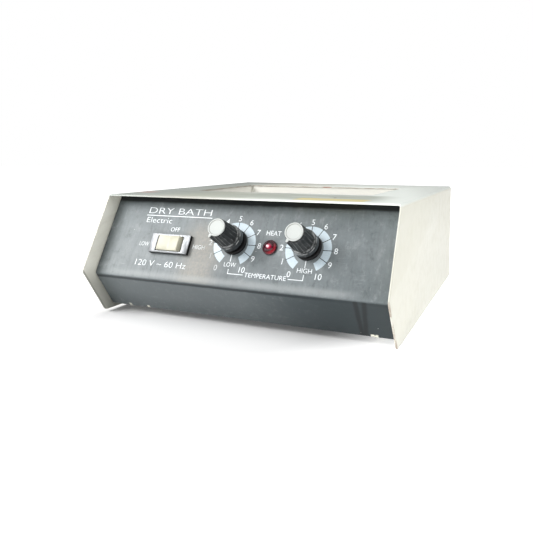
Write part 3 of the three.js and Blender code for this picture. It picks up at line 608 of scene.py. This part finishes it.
def wear_at_front(paint, x, y, z):
    """Brown wear on the front edge of the right side, and painted shade on that of the left one."""
    slope = Vector(LOWER_EDGE_NORMAL).normalized()
    along_y = paint.math("MULTIPLY", paint.math("SUBTRACT", y, COVER_LOW.y), slope.x)
    along_z = paint.math("MULTIPLY", paint.math("SUBTRACT", z, SIDE_NOSE), slope.y)
    behind_edge = paint.math("ADD", along_y, along_z)
    right = paint.rise(x, 100, 110)
    low = paint.rise(z, 48, 30)
    patchy = paint.rise(paint.noise(4, detail=5, stretch=(1, 1, 3), offset=2.9), 0.4, 0.6)
    worn = paint.both(paint.rise(behind_edge, 0.9, 0.2), right, low, patchy)
    paint.tint(worn, (0.28, 0.20, 0.15), 0.8)
    # Painted shade along the front edge of the left side, low down.
    at_edge = paint.rise(behind_edge, 0.6, 0.1)
    shaded_left_edge = paint.both(at_edge, paint.rise(x, *LEFT_FADE), paint.rise(z, 48, 40))
    paint.tint(shaded_left_edge, (0.24, 0.24, 0.21), 0.8)


def charcoal_paint():
    """Satin blue-grey paint: a dusty panel with painted sheen, painted highlight and painted shade, wiped
    streaks, chips and a dark run.
    """
    paint = Paint("charcoal_paint", (0.093, 0.112, 0.118), 0.44, Specular_IOR_Level=0.32)
    _, y, z = paint.axes()
    across, up, out = paint.panel_axes()
    on_panel = paint.rise(out, *ON_PANEL)
    at_front = paint.rise(y, *PAN_FRONT)
    below = paint.both(at_front, paint.rise(out, *UNDER_NOSE))
    local = paint.joined(across, up, out)
    dust(paint, local, across, up, on_panel)
    paint.mottle(
        (0.42, 0.78, 0.3), (0.12, 0.13, 0.135), 2.2, detail=4, stretch=(1, 14, 1), place=local, offset=8.0
    )
    mottled = paint.mottle(
        (0.5, 0.8, 0.5), (0.25, 0.27, 0.275), 4.0, detail=5, place=local, offset=21.0, rough=0.7
    )
    smears = paint.noise(8, detail=7, stretch=(1, 1.8, 1), place=local, offset=27.0, rough=0.75)
    paint.tint(paint.both(on_panel, paint.rise(smears, 0.52, 0.68, 0.55)), (0.31, 0.335, 0.34))
    paint.tint(paint.both(on_panel, paint.rise(smears, 0.47, 0.33, 0.5)), (0.075, 0.09, 0.095))
    paint.tint(paint.rise(mottled, 0.48, 0.25, 0.45), (0.09, 0.10, 0.105))
    clouds = paint.mottle(
        (0.42, 0.72, 0.2), (0.17, 0.18, 0.185), 26, detail=5, place=local, offset=2.0, rough=0.6
    )
    paint.gloss(paint.rise(clouds, 0.35, 0.7), 0.5)
    rubbed_patch(paint, across, up, on_panel)
    scratches(paint, local, on_panel)
    lower_front(paint, across, z, at_front, below)
    dark_run(paint, across, out, below)
    gap_under_lip(paint, up, on_panel)
    paint.tint(paint.specks(11, 0.36, 3.0), (0.66, 0.68, 0.66))
    paint.tint(paint.specks(31, 0.5, 11.0), (0.5, 0.5, 0.47))
    paint.relieve(paint.noise(0.7, detail=3), 0.014)
    return paint.done()


def dust(paint, local, across, up, on_panel):
    """Pale film on the leaning panel, partly dust and partly painted light that makes the face above the
    nose lighter than the front below it; thickest low on the left as a painted sheen, and none under the
    cover's lip or by the left side, which leaves painted shade there.
    """
    film = paint.noise(34, detail=3, place=local, offset=12.0)
    thick = paint.math("ADD", 0.5, paint.rise(film, 0.3, 0.7, 0.35))
    # No film under the lip or next to the left side, which leaves painted shade there.
    clear_of_painted_shade = paint.both(paint.rise(up, 66, 60), paint.rise(across, -119, -104))
    paint.tint(paint.both(on_panel, thick, clear_of_painted_shade), (0.212, 0.241, 0.25))
    # Painted sheen: the film is thicker low on the left.
    left = paint.both(on_panel, paint.rise(across, 10, -100), paint.rise(up, 62, 4), clear_of_painted_shade)
    paint.tint(left, (0.28, 0.303, 0.308), 0.7)


def gap_under_lip(paint, up, on_panel):
    """Painted shadow where the cover's lip hangs over the panel, darkest right under it."""
    faint = paint.both(on_panel, paint.rise(up, 58, 64))
    paint.tint(faint, (0.024, 0.031, 0.034), 0.35)
    deep = paint.both(on_panel, paint.rise(paint.wavered(up, 8, 0.5, 4.0), 61.2, 63.6))
    paint.tint(deep, (0.004, 0.005, 0.006), 0.96)


def rubbed_patch(paint, across, up, on_panel):
    """Painted brownish grey sheen between the switch and the low dial, and a painted highlight along the
    nose.
    """
    shaken_x = paint.wavered(across, 14, 7, 1.0)
    shaken_y = paint.wavered(up, 12, 6, 5.5)
    sheen = paint.both(on_panel, paint.zone(shaken_x, shaken_y, *SHEEN_ZONE))
    fine = paint.rise(paint.noise(1.6, detail=5, offset=3.3), 0.3, 0.8)
    strength = paint.math("MULTIPLY", sheen, paint.math("ADD", 0.55, paint.math("MULTIPLY", fine, 0.45)))
    paint.tint(strength, (0.31, 0.295, 0.262))
    paint.tint(paint.zone(shaken_x, up, *NOSE_HIGHLIGHT), (0.42, 0.44, 0.44), 0.4)


def lower_front(paint, across, z, at_front, below):
    """The front below the nose: painted light on its upper left, a dark line under the bend, and painted
    shade towards the right.
    """
    # Painted light: lighter on the left and higher up.
    lit_upper_left = paint.both(below, paint.rise(across, 60, 0), paint.rise(z, 8, 20))
    paint.tint(lit_upper_left, (0.155, 0.175, 0.18), 0.45)
    line = paint.within(paint.wavered(z, 7, 0.35, 3.0), NOSE_LINE["low"], NOSE_LINE["high"], 0.5)
    paint.tint(paint.both(at_front, line, 0.85), (0.016, 0.021, 0.025))
    # Painted shade: darker towards the right.
    right = paint.both(below, paint.rise(across, 0, 92))
    paint.tint(right, (0.02, 0.03, 0.034), 0.94)
    ragged = paint.rise(paint.noise(1.6, detail=3, offset=9.0), 0.36, 0.44)
    for x, half in CHIPS:
        chip = paint.zone(across, z, x - half, x + half, *CHIP_HEIGHTS, 0.5)
        paint.tint(paint.both(at_front, chip, ragged), (0.84, 0.82, 0.70))


def scratches(paint, local, on_panel):
    """Thin pale and dark scratches: most run up the panel, some slant or run across it."""
    for stretch, offset, tone in (
        ((1, 22, 1), 14.0, (0.48, 0.49, 0.48)),
        ((16, 1, 1), 4.0, (0.42, 0.44, 0.44)),
        ((1, 14, 1), 31.0, (0.06, 0.068, 0.07)),
    ):
        lines = paint.noise(0.8, detail=2, stretch=stretch, place=local, offset=offset)
        sparse = paint.noise(15, detail=2, place=local, offset=offset / 2)
        mask = paint.both(on_panel, paint.rise(lines, 0.62, 0.72), paint.rise(sparse, 0.5, 0.66))
        paint.tint(mask, tone, 0.38)


def dark_run(paint, across, out, below):
    """Two dried dark runs that come together down the lower front."""
    depth = paint.math("MULTIPLY", out, RUN["slant"])
    for middle, lean in RUNS:
        line = paint.math("SUBTRACT", across, paint.math("MULTIPLY_ADD", depth, lean, RUN["shift"]))
        shaken = paint.wavered(line, 9, 0.8, middle)
        low, high = middle - RUN["half"], middle + RUN["half"]
        mask = paint.both(below, paint.within(shaken, low, high, RUN["soft"]))
        paint.tint(mask, (0.006, 0.009, 0.010), 0.85)
        paint.gloss(mask, 0.3)


def about_nearest_dial(paint):
    """Position about the nearer control's axis: away from the panel's middle, up and out."""
    across, up, out = paint.panel_axes()
    low, high = dial_middle("low").x, dial_middle("high").x
    from_middle = paint.math("ABSOLUTE", paint.math("SUBTRACT", across, (low + high) / 2))
    return paint.math("SUBTRACT", from_middle, (high - low) / 2), paint.math("SUBTRACT", up, DIAL_UP), out


def knob_plastic():
    """Black moulding, worn to a grey satin, with paler ridge crests that are partly wear and partly painted
    highlight, painted highlights on the edges of its rings and a painted shadow low on the skirt.
    """
    paint = Paint("knob_plastic", (0.010, 0.0115, 0.0125), 0.3, Specular_IOR_Level=0.5)
    sideways, upwards, out = about_nearest_dial(paint)
    worn = paint.mottle((0.46, 0.74, 0.6), (0.06, 0.066, 0.068), 3.5, detail=5, offset=2.0, rough=0.65)
    patchy = paint.rise(worn, 0.4, 0.62, 0.75)
    turn = paint.math("ARCTAN2", sideways, upwards)
    wave = paint.math("COSINE", paint.math("MULTIPLY", turn, KNOB["ridges"] / 2))
    # Painted highlight and wear: the ridge crests on the body are paler.
    lit_and_worn_crest = paint.rise(paint.math("ABSOLUTE", wave), 0.96, 1.0)
    on_body = paint.rise(out, KNOB_STEP_TOP + 0.5, KNOB_STEP_TOP + 1.2)
    paint.tint(paint.both(lit_and_worn_crest, on_body, patchy), (0.17, 0.18, 0.18))
    # Painted highlights on the edges of the skirt and of the step.
    for height in (KNOB_SKIRT_TOP, KNOB_STEP_TOP):
        edge = paint.within(out, height - 0.35, height + 0.25, 0.15)
        paint.tint(paint.both(edge, patchy), (0.38, 0.39, 0.39))
    # Painted shadow: the lowest band of the skirt is black.
    foot = KNOB_SKIRT_TOP - KNOB["skirt_height"]
    paint.tint(paint.rise(out, foot + 1.7, foot + 1.1), (0.003, 0.003, 0.003))
    paint.gloss(paint.rise(worn, 0.35, 0.7), 0.44)
    paint.relieve(paint.noise(0.5, detail=2), 0.01)
    return paint.done()


def cap_plastic():
    """Ivory-white moulding with a little grime, and painted shade in the groove inside the rim."""
    paint = Paint("cap_plastic", (0.53, 0.555, 0.535), 0.5, Specular_IOR_Level=0.3)
    sideways, upwards, _ = about_nearest_dial(paint)
    radius = paint.vector("LENGTH", paint.joined(sideways, upwards))
    rim = CAP["radius"] - CAP["rim"]
    # Painted shade in the groove inside the rim.
    paint.tint(paint.within(radius, rim - 0.35, rim - 0.05, 0.15), (0.30, 0.305, 0.29))
    paint.mottle((0.58, 0.85, 0.3), (0.55, 0.53, 0.46), 2.6, detail=5, offset=4.0, rough=0.6)
    paint.relieve(paint.noise(0.8, detail=2), 0.008)
    return paint.done()


def printed_white():
    """Screen-printed legend ink, thin and worn away in places."""
    paint = Paint("printed_white", (0.84, 0.88, 0.90), 0.45)
    across, up, _ = paint.panel_axes()
    paint.mottle((0.52, 0.72, 0.5), (0.34, 0.36, 0.37), 0.8, detail=4, offset=6.0, rough=0.7)
    for limits, strength in WORN_INK:
        paint.tint(paint.zone(across, up, *limits), (0.27, 0.27, 0.25), strength)
    return paint.done()


def printed_blue():
    """Pale blue-grey ink of the dial segments."""
    paint = Paint("printed_blue", (0.50, 0.60, 0.66), 0.4)
    paint.mottle((0.35, 0.75, 0.55), (0.64, 0.73, 0.78), 1.1, detail=5, offset=2.4, rough=0.65)
    paint.mottle((0.6, 0.8, 0.35), (0.42, 0.48, 0.5), 7, detail=3, offset=8.2)
    return paint.done()


def metal(name, colour, roughness, grain=(1, 1, 1), size=1.5, depth=0.01):
    """Bare metal with fine grain lines and dull patches."""
    paint = Paint(name, colour, roughness, metallic=1.0)
    lines = paint.noise(size, detail=4, stretch=grain, offset=1.3)
    paint.mottle((0.45, 0.8, 0.4), tuple(0.72 * part for part in colour), 8, detail=4, offset=5.1)
    paint.gloss(paint.rise(lines, 0.3, 0.7), roughness + 0.14)
    paint.relieve(lines, depth)
    return paint.done()


def aluminium():
    """Milled plate, stained where blocks have stood on it."""
    paint = Paint("aluminium", (0.62, 0.62, 0.61), 0.38, metallic=1.0)
    lines = paint.noise(0.5, detail=3, stretch=(30, 1, 1), offset=1.0)
    paint.relieve(lines, 0.015)
    stains = paint.mottle((0.5, 0.75, 0.6), (0.42, 0.38, 0.32), 16, detail=5, offset=4.0, rough=0.6)
    paint.gloss(paint.rise(stains, 0.4, 0.7), 0.6)
    return paint.done()


def black_plastic():
    paint = Paint("black_plastic", (0.004, 0.004, 0.0045), 0.5, Specular_IOR_Level=0.25)
    worn = paint.mottle((0.6, 0.85, 0.4), (0.014, 0.014, 0.015), 4, detail=4, offset=3.0)
    paint.gloss(paint.rise(worn, 0.4, 0.7), 0.6)
    paint.relieve(paint.noise(0.6, detail=2), 0.012)
    return paint.done()


def ivory_plastic():
    """Aged ivory moulding."""
    paint = Paint("ivory_plastic", (0.50, 0.485, 0.375), 0.34, Specular_IOR_Level=0.5)
    paint.mottle((0.4, 0.75, 0.5), (0.55, 0.54, 0.44), 5, detail=3, offset=7.0)
    paint.mottle((0.62, 0.85, 0.25), (0.5, 0.45, 0.32), 1.5, detail=5, offset=1.0, rough=0.65)
    paint.relieve(paint.noise(0.9, detail=2), 0.008)
    return paint.done()


def red_lens():
    """Dark red jewel with a painted lit crescent on its ring, and a painted red glow and a painted pale
    highlight in the dome.
    """
    paint = Paint("red_lens", (0.045, 0.001, 0.007), 0.2, IOR=1.45, Coat_Weight=0.25, Coat_Roughness=0.1)
    low, high = panel_box("lamp_lens")
    across, up, _ = paint.panel_axes()
    middle = (low + high) / 2
    local = paint.joined(paint.math("SUBTRACT", across, middle.x), paint.math("SUBTRACT", up, middle.y))
    radius = paint.vector("LENGTH", local)
    lit_side = paint.rise(paint.vector("DOT_PRODUCT", local, (0.8, -0.6, 0)), 0.5, 4.5)
    crescent = paint.both(paint.within(radius, LENS["dome"] - 0.2, LENS["ring"] + 0.3, 0.3), lit_side)
    paint.tint(crescent, (0.34, 0.008, 0.022))
    # Painted red glow and painted pale highlight in the dome.
    for place, reach, colour in LENS_PAINTED_LIGHT:
        spot = paint.rise(paint.vector("DISTANCE", local, place), reach, reach * 0.35)
        paint.tint(spot, colour)
    return paint.done()


def soft_matter(name, colour, darker, size, roughness, relief):
    """Rubber, fibre, mica or sleeving: matt, with grain of one size."""
    paint = Paint(name, colour, roughness)
    grain = paint.mottle((0.35, 0.75, 0.7), darker, size, detail=5, offset=2.0, rough=0.65)
    paint.relieve(grain, relief)
    return paint.done()


SOFT_MATTERS = {  # colour, darker colour, size of grain, roughness and relief
    "mica": ((0.42, 0.30, 0.14), (0.30, 0.21, 0.10), 2.5, 0.5, 0.02),
    "fibre": ((0.66, 0.60, 0.43), (0.50, 0.44, 0.30), 1.2, 0.95, 0.25),
    "rubber": ((0.018, 0.018, 0.018), (0.035, 0.035, 0.034), 2.0, 0.8, 0.04),
    "wire_sleeve": ((0.60, 0.56, 0.46), (0.44, 0.40, 0.32), 0.5, 0.85, 0.12),
}
METALS = {  # colour, roughness, stretch and size of the grain, and its depth
    "bare_steel": ((0.50, 0.50, 0.50), 0.36, (8, 1, 1)),
    "bright_steel": ((0.30, 0.31, 0.32), 0.45, (1, 6, 6), 0.6, 0.006),
    "zinc": ((0.66, 0.67, 0.64), 0.3, (1, 1, 1), 0.8),
    "brass": ((0.72, 0.50, 0.20), 0.3),
    "copper": ((0.72, 0.36, 0.20), 0.34),
}
PAINTS = (cream_paint, charcoal_paint, aluminium, red_lens)
PLASTICS = (black_plastic, knob_plastic, cap_plastic, ivory_plastic)

MATERIALS = {make.__name__: make() for make in PAINTS + PLASTICS}
MATERIALS.update({name: soft_matter(name, *row) for name, row in SOFT_MATTERS.items()})
MATERIALS.update({name: metal(name, *row) for name, row in METALS.items()})
PRINTED_WHITE = printed_white()
PRINTED_BLUE = printed_blue()


# ---- Pieces ----------------------------------------------------------------------------


def fit_out(piece, body, slot, material=None, stands_for=()):
    """Gives a new piece its body and a material, the slot's own unless another is given, and hides the CAD
    nodes that it stands for.
    """
    piece.data.materials.clear()
    piece.data.materials.append(material or MATERIALS[slot])
    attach(piece, body)
    if stands_for:
        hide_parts(*stands_for)
    return piece


def body_of(node):
    return frame["nodes"][node]["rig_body"]


def refined(node, edge):
    """A copy of a CAD node with merged flat faces and rounded edges, which stands for the node."""
    mesh = frame["nodes"][node].data.copy()
    work = bmesh.new()
    work.from_mesh(mesh)
    bmesh.ops.remove_doubles(work, verts=work.verts, dist=1e-6)
    bmesh.ops.dissolve_limit(
        work, angle_limit=math.radians(0.5), verts=work.verts, edges=work.edges, delimit={"NORMAL"}
    )
    work.to_mesh(mesh)
    work.free()
    piece = link_mesh(f"{node}_refined", mesh)
    rounded(piece, edge)
    return fit_out(piece, body_of(node), SLOT_OF[node], stands_for=[node])


def finish_carried_nodes():
    """Every CAD node that stays visible takes the material of its slot."""
    for name, node in frame["nodes"].items():
        node.data.materials.clear()
        node.data.materials.append(MATERIALS[SLOT_OF[name]])


def knob_ring(radius, z, depth, pointer, rib):
    """One ring of the knob: narrow ridges of a height, and the pointer rib standing out of it."""
    flat, foot = KNOB["rib_flat"], KNOB["rib_foot"]
    points = []
    for index in range(KNOB["turns"]):
        turn = 2 * math.pi * index / KNOB["turns"]
        ridge = abs(math.cos(turn * KNOB["ridges"] / 2)) ** KNOB["ridge_power"]
        reach = radius - depth * (1 - ridge)
        aside = abs(reach * math.sin(turn - pointer)) / KNOB["rib_half"]
        if aside < foot and math.cos(turn - pointer) > 0:
            reach += (rib - reach) * min(1.0, (foot - aside) / (foot - flat))
        points.append((reach * math.sin(turn), reach * math.cos(turn), z))
    return points


def knob(name):
    """Ridged knob with a stepped skirt, a groove, a pointer rib and a hollow underside."""
    low, high = panel_box(f"knob_{name}")
    base, top = low.z, high.z
    skirt_top, step_top = KNOB_SKIRT_TOP, KNOB_STEP_TOP
    groove_top = step_top + KNOB["groove_height"]
    edge, foot, tip = KNOB["edge"], KNOB["foot"], KNOB["tip"]
    pointer = pointer_angle(name)
    hollow_top = base + KNOB["hollow_depth"]
    bore_top = base + KNOB["bore_depth"]
    plain = [
        (0, bore_top),
        (KNOB["bore"], bore_top),
        (KNOB["bore"], hollow_top),
        (KNOB["hollow"], hollow_top),
        (KNOB["hollow"], base),
        (KNOB["skirt"], base),
        (KNOB["skirt"], skirt_top),
        (KNOB["step"], skirt_top + KNOB["slope"]),
        (KNOB["step"], step_top),
        (KNOB["groove"], step_top + KNOB["groove_slope"]),
        (KNOB["groove"], groove_top - KNOB["groove_slope"]),
    ]
    rings = [circle(r, z, KNOB["turns"]) for r, z in eased(plain, edge)]
    body = [  # radius, height and share of the ridges' full height
        (foot - 0.1, groove_top, 0.3),
        (foot, groove_top + 0.3, 1.0),
        (tip + 0.25, top - 2.0, 1.0),
        (tip + 0.1, top - 1.0, 0.6),
        (tip, top - edge, 0.0),
        (tip - edge * 0.3, top - edge * 0.3, 0.0),
        (tip - edge, top, 0.0),
    ]
    for radius, z, share in body:
        rib = KNOB["rib"] if z < top - edge else radius + KNOB["rib_at_top"]
        rings.append(knob_ring(radius, z, share * KNOB["ridge_height"], pointer, rib))
    rings.append(circle(tip - 2 * edge, top, KNOB["turns"]))
    rings.append([(0, 0, top)])
    mesh = mesh_from(f"knob_{name}_moulding", lambda work: skin_rings(work, rings))
    moulding(mesh, 35, at_dial(name), f"knob_{name}", "knob_plastic", f"knob_{name}")


def knob_cap(name):
    """Pale inlay with a raised rim, a dished face and a pointer nib."""
    low, high = panel_box(f"knob_cap_{name}")
    bottom, top = low.z - CAP["gap"], high.z
    face = top - CAP["dish"]
    rim = CAP["radius"] - CAP["rim"]
    outline = [
        (0, bottom),
        (CAP["radius"], bottom),
        (CAP["radius"], top),
        (rim, top),
        (rim - 0.25, face),
        (0, face),
    ]
    mesh = lathe(f"knob_cap_{name}_moulding", eased(outline, CAP["edge"]), CAP["turns"])
    moulding(mesh, 40, at_dial(name), f"knob_{name}", "cap_plastic", f"knob_cap_{name}")
    nib_outline = [
        (-NIB["half"], NIB["root"]),
        (NIB["half"], NIB["root"]),
        (NIB["tip_half"], NIB["tip"]),
        (-NIB["tip_half"], NIB["tip"]),
    ]
    nib_mesh = mesh_from(
        f"knob_nib_{name}", lambda work: slab(work, nib_outline, bottom, top - NIB["below_top"])
    )
    nib_mesh.transform(Matrix.Rotation(-pointer_angle(name), 4, "Z"))
    nib = link_mesh(f"knob_nib_{name}", nib_mesh, at_dial(name))
    rounded(nib, 0.2)
    fit_out(nib, f"knob_{name}", "cap_plastic")


def nut_cover(name):
    """Black cup in the middle of the dial, which the knob's skirt stands over."""
    low, high = panel_box(f"nut_cover_{name}")
    radius = (high.x - low.x) / 2
    roof = high.z - NUT_COVER["roof"]
    outline = [
        (radius, low.z),
        (radius, high.z - NUT_COVER["edge"]),
        (radius - NUT_COVER["edge"], high.z),
        (NUT_COVER["hole"], high.z),
        (NUT_COVER["hole"], roof),
        (NUT_COVER["bore"], roof),
        (NUT_COVER["bore"], low.z),
    ]
    mesh = lathe(f"nut_cover_{name}_moulding", eased(outline, NUT_COVER["easing"]), CAP["turns"])
    moulding(mesh, 40, at_dial(name), "chassis", "black_plastic", f"nut_cover_{name}")


def moulding(mesh, degrees, matrix, body, slot, node):
    """A smooth moulded piece that stands for a CAD node."""
    piece = link_mesh(mesh.name, smooth(mesh, degrees), matrix)
    fit_out(piece, body, slot, stands_for=[node])


def lamp_lens():
    """Stepped red jewel: a flange, a ring and a dome."""
    low, high = panel_box("lamp_lens")
    middle = (low + high) / 2
    flange, ring_foot, ring, dome = (low.z + height for height in LENS_HEIGHTS.values())
    outline = [
        (0, low.z),
        (LENS["flange"], low.z),
        (LENS["flange"], flange),
        (LENS["ring"] + 0.1, ring_foot),
        (LENS["ring"], ring),
        (LENS["dome"], dome),
    ]
    for step in range(1, LENS["dome_steps"]):
        turn = math.pi / 2 * step / LENS["dome_steps"]
        outline.append((LENS["dome"] * math.cos(turn), dome + (high.z - dome) * math.sin(turn)))
    outline.append((0, high.z))
    mesh = lathe("lamp_jewel", eased(outline, LENS["edge"], 3), LENS["turns"])
    where = PANEL @ Matrix.Translation((middle.x, middle.y, 0))
    moulding(mesh, 40, where, "chassis", "red_lens", "lamp_lens")


# ---- Printed legends -------------------------------------------------------------------


def printed(name, build, slot="cap_plastic", material=None):
    """A legend on the panel, built in the panel's frame."""
    piece = link_mesh(name, mesh_from(name, build), PANEL)
    return fit_out(piece, "chassis", slot, material or PRINTED_WHITE)


def sector(inner, outer, start, end):
    """The outline of a ring's sector, in degrees clockwise from straight up."""
    steps = DIAL["arc_steps"]
    turns = [math.radians(start + (end - start) * step / steps) for step in range(steps + 1)]
    far = [(outer * math.sin(turn), outer * math.cos(turn)) for turn in turns]
    near = [(inner * math.sin(turn), inner * math.cos(turn)) for turn in reversed(turns)]
    return far + near


def moved(outline, x, up):
    return [(px + x, py + up) for px, py in outline]


def write(work, text, x, up, height, width=None, thinned=THINNED["plain"], slant=0.0):
    """Letters of a given height, centred on a point of the panel, with an optional overall width."""
    curve = bpy.data.curves.new("letters", "FONT")
    curve.body = text
    curve.shear = slant
    curve.offset = -thinned
    curve.resolution_u = 4
    curve.extrude = 0.5
    letters = bpy.data.objects.new("letters", curve)
    bpy.context.scene.collection.objects.link(letters)
    depsgraph = bpy.context.evaluated_depsgraph_get()
    mesh = bpy.data.meshes.new_from_object(letters.evaluated_get(depsgraph), depsgraph=depsgraph)
    low, high = corners([vertex.co for vertex in mesh.vertices])
    tall = height / (high.y - low.y)
    wide = width / (high.x - low.x) if width else tall
    thick = PRINT["high"] - PRINT["low"]
    middle = (low + high) / 2
    scale = Matrix.Diagonal((wide, tall, thick, 1.0))
    where = Matrix.Translation((x, up, (PRINT["high"] + PRINT["low"]) / 2))
    mesh.transform(where @ scale @ Matrix.Translation(-middle))
    work.from_mesh(mesh)
    bpy.data.objects.remove(letters)
    bpy.data.curves.remove(curve)
    bpy.data.meshes.remove(mesh)


def draw(work, points, width):
    slab(work, ribbon(points, width), PRINT["low"], PRINT["high"])


def dial(name):
    """Segments, ticks, numbers and the index line round one knob."""
    x, up = dial_middle(name).x, SCALE_UP
    half_travel = -math.degrees(pointer_angle(name))
    step = 2 * half_travel / DIAL_STEPS

    def segments(work):
        for index in range(DIAL_STEPS):
            start = -half_travel + index * step
            outline = sector(DIAL["inner"], DIAL["outer"], start, start + step)
            slab(work, moved(outline, x, up), PRINT["low"], PRINT["high"])

    def ticks(work):
        for index in range(1, DIAL_STEPS):
            turn = math.radians(-half_travel + index * step)
            spoke = Vector((math.sin(turn), math.cos(turn)))
            ends = [spoke * DIAL["tick_inner"], spoke * DIAL["tick_outer"]]
            slab(work, moved(ribbon(ends, DIAL["tick"]), x, up), TICK["low"], TICK["high"])

    def numbers(work):
        for index in range(DIAL_STEPS + 1):
            turn = math.radians(-half_travel + index * step)
            at_end = index in (0, DIAL_STEPS)
            radius = NUMERAL["end_radius"] if at_end else NUMERAL["radius"]
            place = (x + radius * math.sin(turn), up + radius * math.cos(turn))
            write(work, str(index), *place, NUMERAL["height"], slant=NUMERAL["slant"])
        draw(work, [(x, up + INDEX_LINE["top"]), (x, up + INDEX_LINE["bottom"])], INDEX_LINE["width"])

    printed(f"dial_segments_{name}", segments, material=PRINTED_BLUE)
    printed(f"dial_ticks_{name}", ticks, "black_plastic", MATERIALS["black_plastic"])
    printed(f"dial_numbers_{name}", numbers)


def legends():
    """Generic words and lines of the panel."""
    for name, words in WORDS.items():

        def build(work):
            for word in words:
                write(work, *word)
            for width, points in LINES.get(name, ()):
                draw(work, points, width)

        printed(name, build)


# ---- Inlet -----------------------------------------------------------------------------


def inlet_blades():
    """Bright sleeves over the three blades inside the mains inlet."""
    low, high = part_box("power_inlet")
    x = (low.x + high.x) / 2 / MM
    z = (low.z + high.z) / 2 / MM
    outside = high.y / MM
    near, far = (outside - depth for depth in BLADES["depths"])
    for number, (dx, dz) in enumerate(BLADES["places"], 1):
        left, right = x + dx - BLADES["half_width"], x + dx + BLADES["half_width"]
        bottom, top = z + dz - BLADES["half_height"], z + dz + BLADES["half_height"]
        outline = [(left, near), (right, near), (right, far), (left, far)]
        mesh = mesh_from(f"inlet_blade_{number}", lambda work: slab(work, outline, bottom, top))
        piece = link_mesh(f"inlet_blade_{number}", mesh, Matrix.Scale(MM, 4))
        rounded(piece, BLADES["edge"])
        fit_out(piece, "chassis", "zinc")


# ---- Stage, light and camera -----------------------------------------------------------


def floor():
    """Plain pale floor with a glow of its own that grows away from the object, up to the horizon."""
    signs = ((-1, -1), (1, -1), (1, 1), (-1, 1))

    def build(work):
        work.faces.new([work.verts.new((x * FLOOR_HALF, y * FLOOR_HALF, 0)) for x, y in signs])

    piece = link_mesh("floor", mesh_from("floor", build))
    paint = Paint("floor_white", (0.78, 0.78, 0.78), 0.9, Emission_Color=(1, 1, 1, 1))
    away = paint.rise(paint.vector("DISTANCE", paint.place, FLOOR_GLOW["from"]), *FLOOR_GLOW["between"])
    near, far = FLOOR_GLOW["near"], FLOOR_GLOW["far"]
    glow = paint.math("MULTIPLY_ADD", away, far - near, near)
    paint.put(paint.shader.inputs["Emission Strength"], glow)
    piece.data.materials.append(paint.done())


def aimed(name, light, place):
    lamp = bpy.data.objects.new(name, light)
    lamp.location = place
    lamp.rotation_euler = (Vector(LIT_POINT) - Vector(place)).to_track_quat("-Z", "Y").to_euler()
    bpy.context.scene.collection.objects.link(lamp)


def soft_box(name, place, size, power):
    light = bpy.data.lights.new(name, "AREA")
    light.shape = "RECTANGLE"
    light.size, light.size_y = size
    light.energy = power
    aimed(name, light, place)


def soft_sun(name, place, strength, spread):
    light = bpy.data.lights.new(name, "SUN")
    light.energy = strength
    light.angle = math.radians(spread)
    aimed(name, light, place)


def studio_world():
    """White to the eye, and dimmer as a light."""
    world = bpy.data.worlds.new("studio")
    bpy.context.scene.world = world
    world.use_nodes = True
    tree = world.node_tree
    seen = tree.nodes.new("ShaderNodeLightPath")
    strength = tree.nodes.new("ShaderNodeMapRange")
    strength.inputs["To Min"].default_value = WORLD["lights"]
    strength.inputs["To Max"].default_value = WORLD["shows"]
    tree.links.new(seen.outputs["Is Camera Ray"], strength.inputs["Value"])
    background = tree.nodes["Background"]
    background.inputs["Color"].default_value = (1, 1, 1, 1)
    tree.links.new(strength.outputs["Result"], background.inputs["Strength"])


def lights():
    studio_world()
    soft_sun("overhead", **SUN)
    for name, setting in SOFT_BOXES.items():
        soft_box(name, *setting)
    bpy.context.scene.view_settings.view_transform = "Standard"


def camera():
    data = bpy.data.cameras.new("camera")
    data.sensor_width = CAMERA["sensor"]
    data.lens = CAMERA["lens"]
    data.shift_x, data.shift_y = CAMERA["shift"]
    viewer = bpy.data.objects.new("camera", data)
    viewer.location = CAMERA["place"]
    viewer.rotation_euler = (math.radians(90 - CAMERA["pitch"]), 0, math.radians(CAMERA["yaw"]))
    bpy.context.scene.collection.objects.link(viewer)
    bpy.context.scene.camera = viewer


# ---- Assembly --------------------------------------------------------------------------

SHEETS = {"cover": 0.3, "base_pan": 0.25, "rear_panel": 0.25, "well_liner": 0.25, "heater_plate": 0.4}
MOULDINGS = {"switch_body": 0.3, "switch_bezel": 0.18, "switch_rocker": 0.45, "power_inlet": 0.6}
FASTENED = ("foot", "cover_screw", "foot_screw")
SMALL_PARTS = {f"{kind}_{number}": 0.2 for kind in FASTENED for number in (1, 2, 3, 4)}

camera()
lights()
floor()
finish_carried_nodes()
for node, edge in {**SHEETS, **MOULDINGS, **SMALL_PARTS}.items():
    refined(node, edge)
for control in ("low", "high"):
    nut_cover(control)
    knob(control)
    knob_cap(control)
    dial(control)
lamp_lens()
legends()
inlet_blades()

bpy.context.view_layer.update()
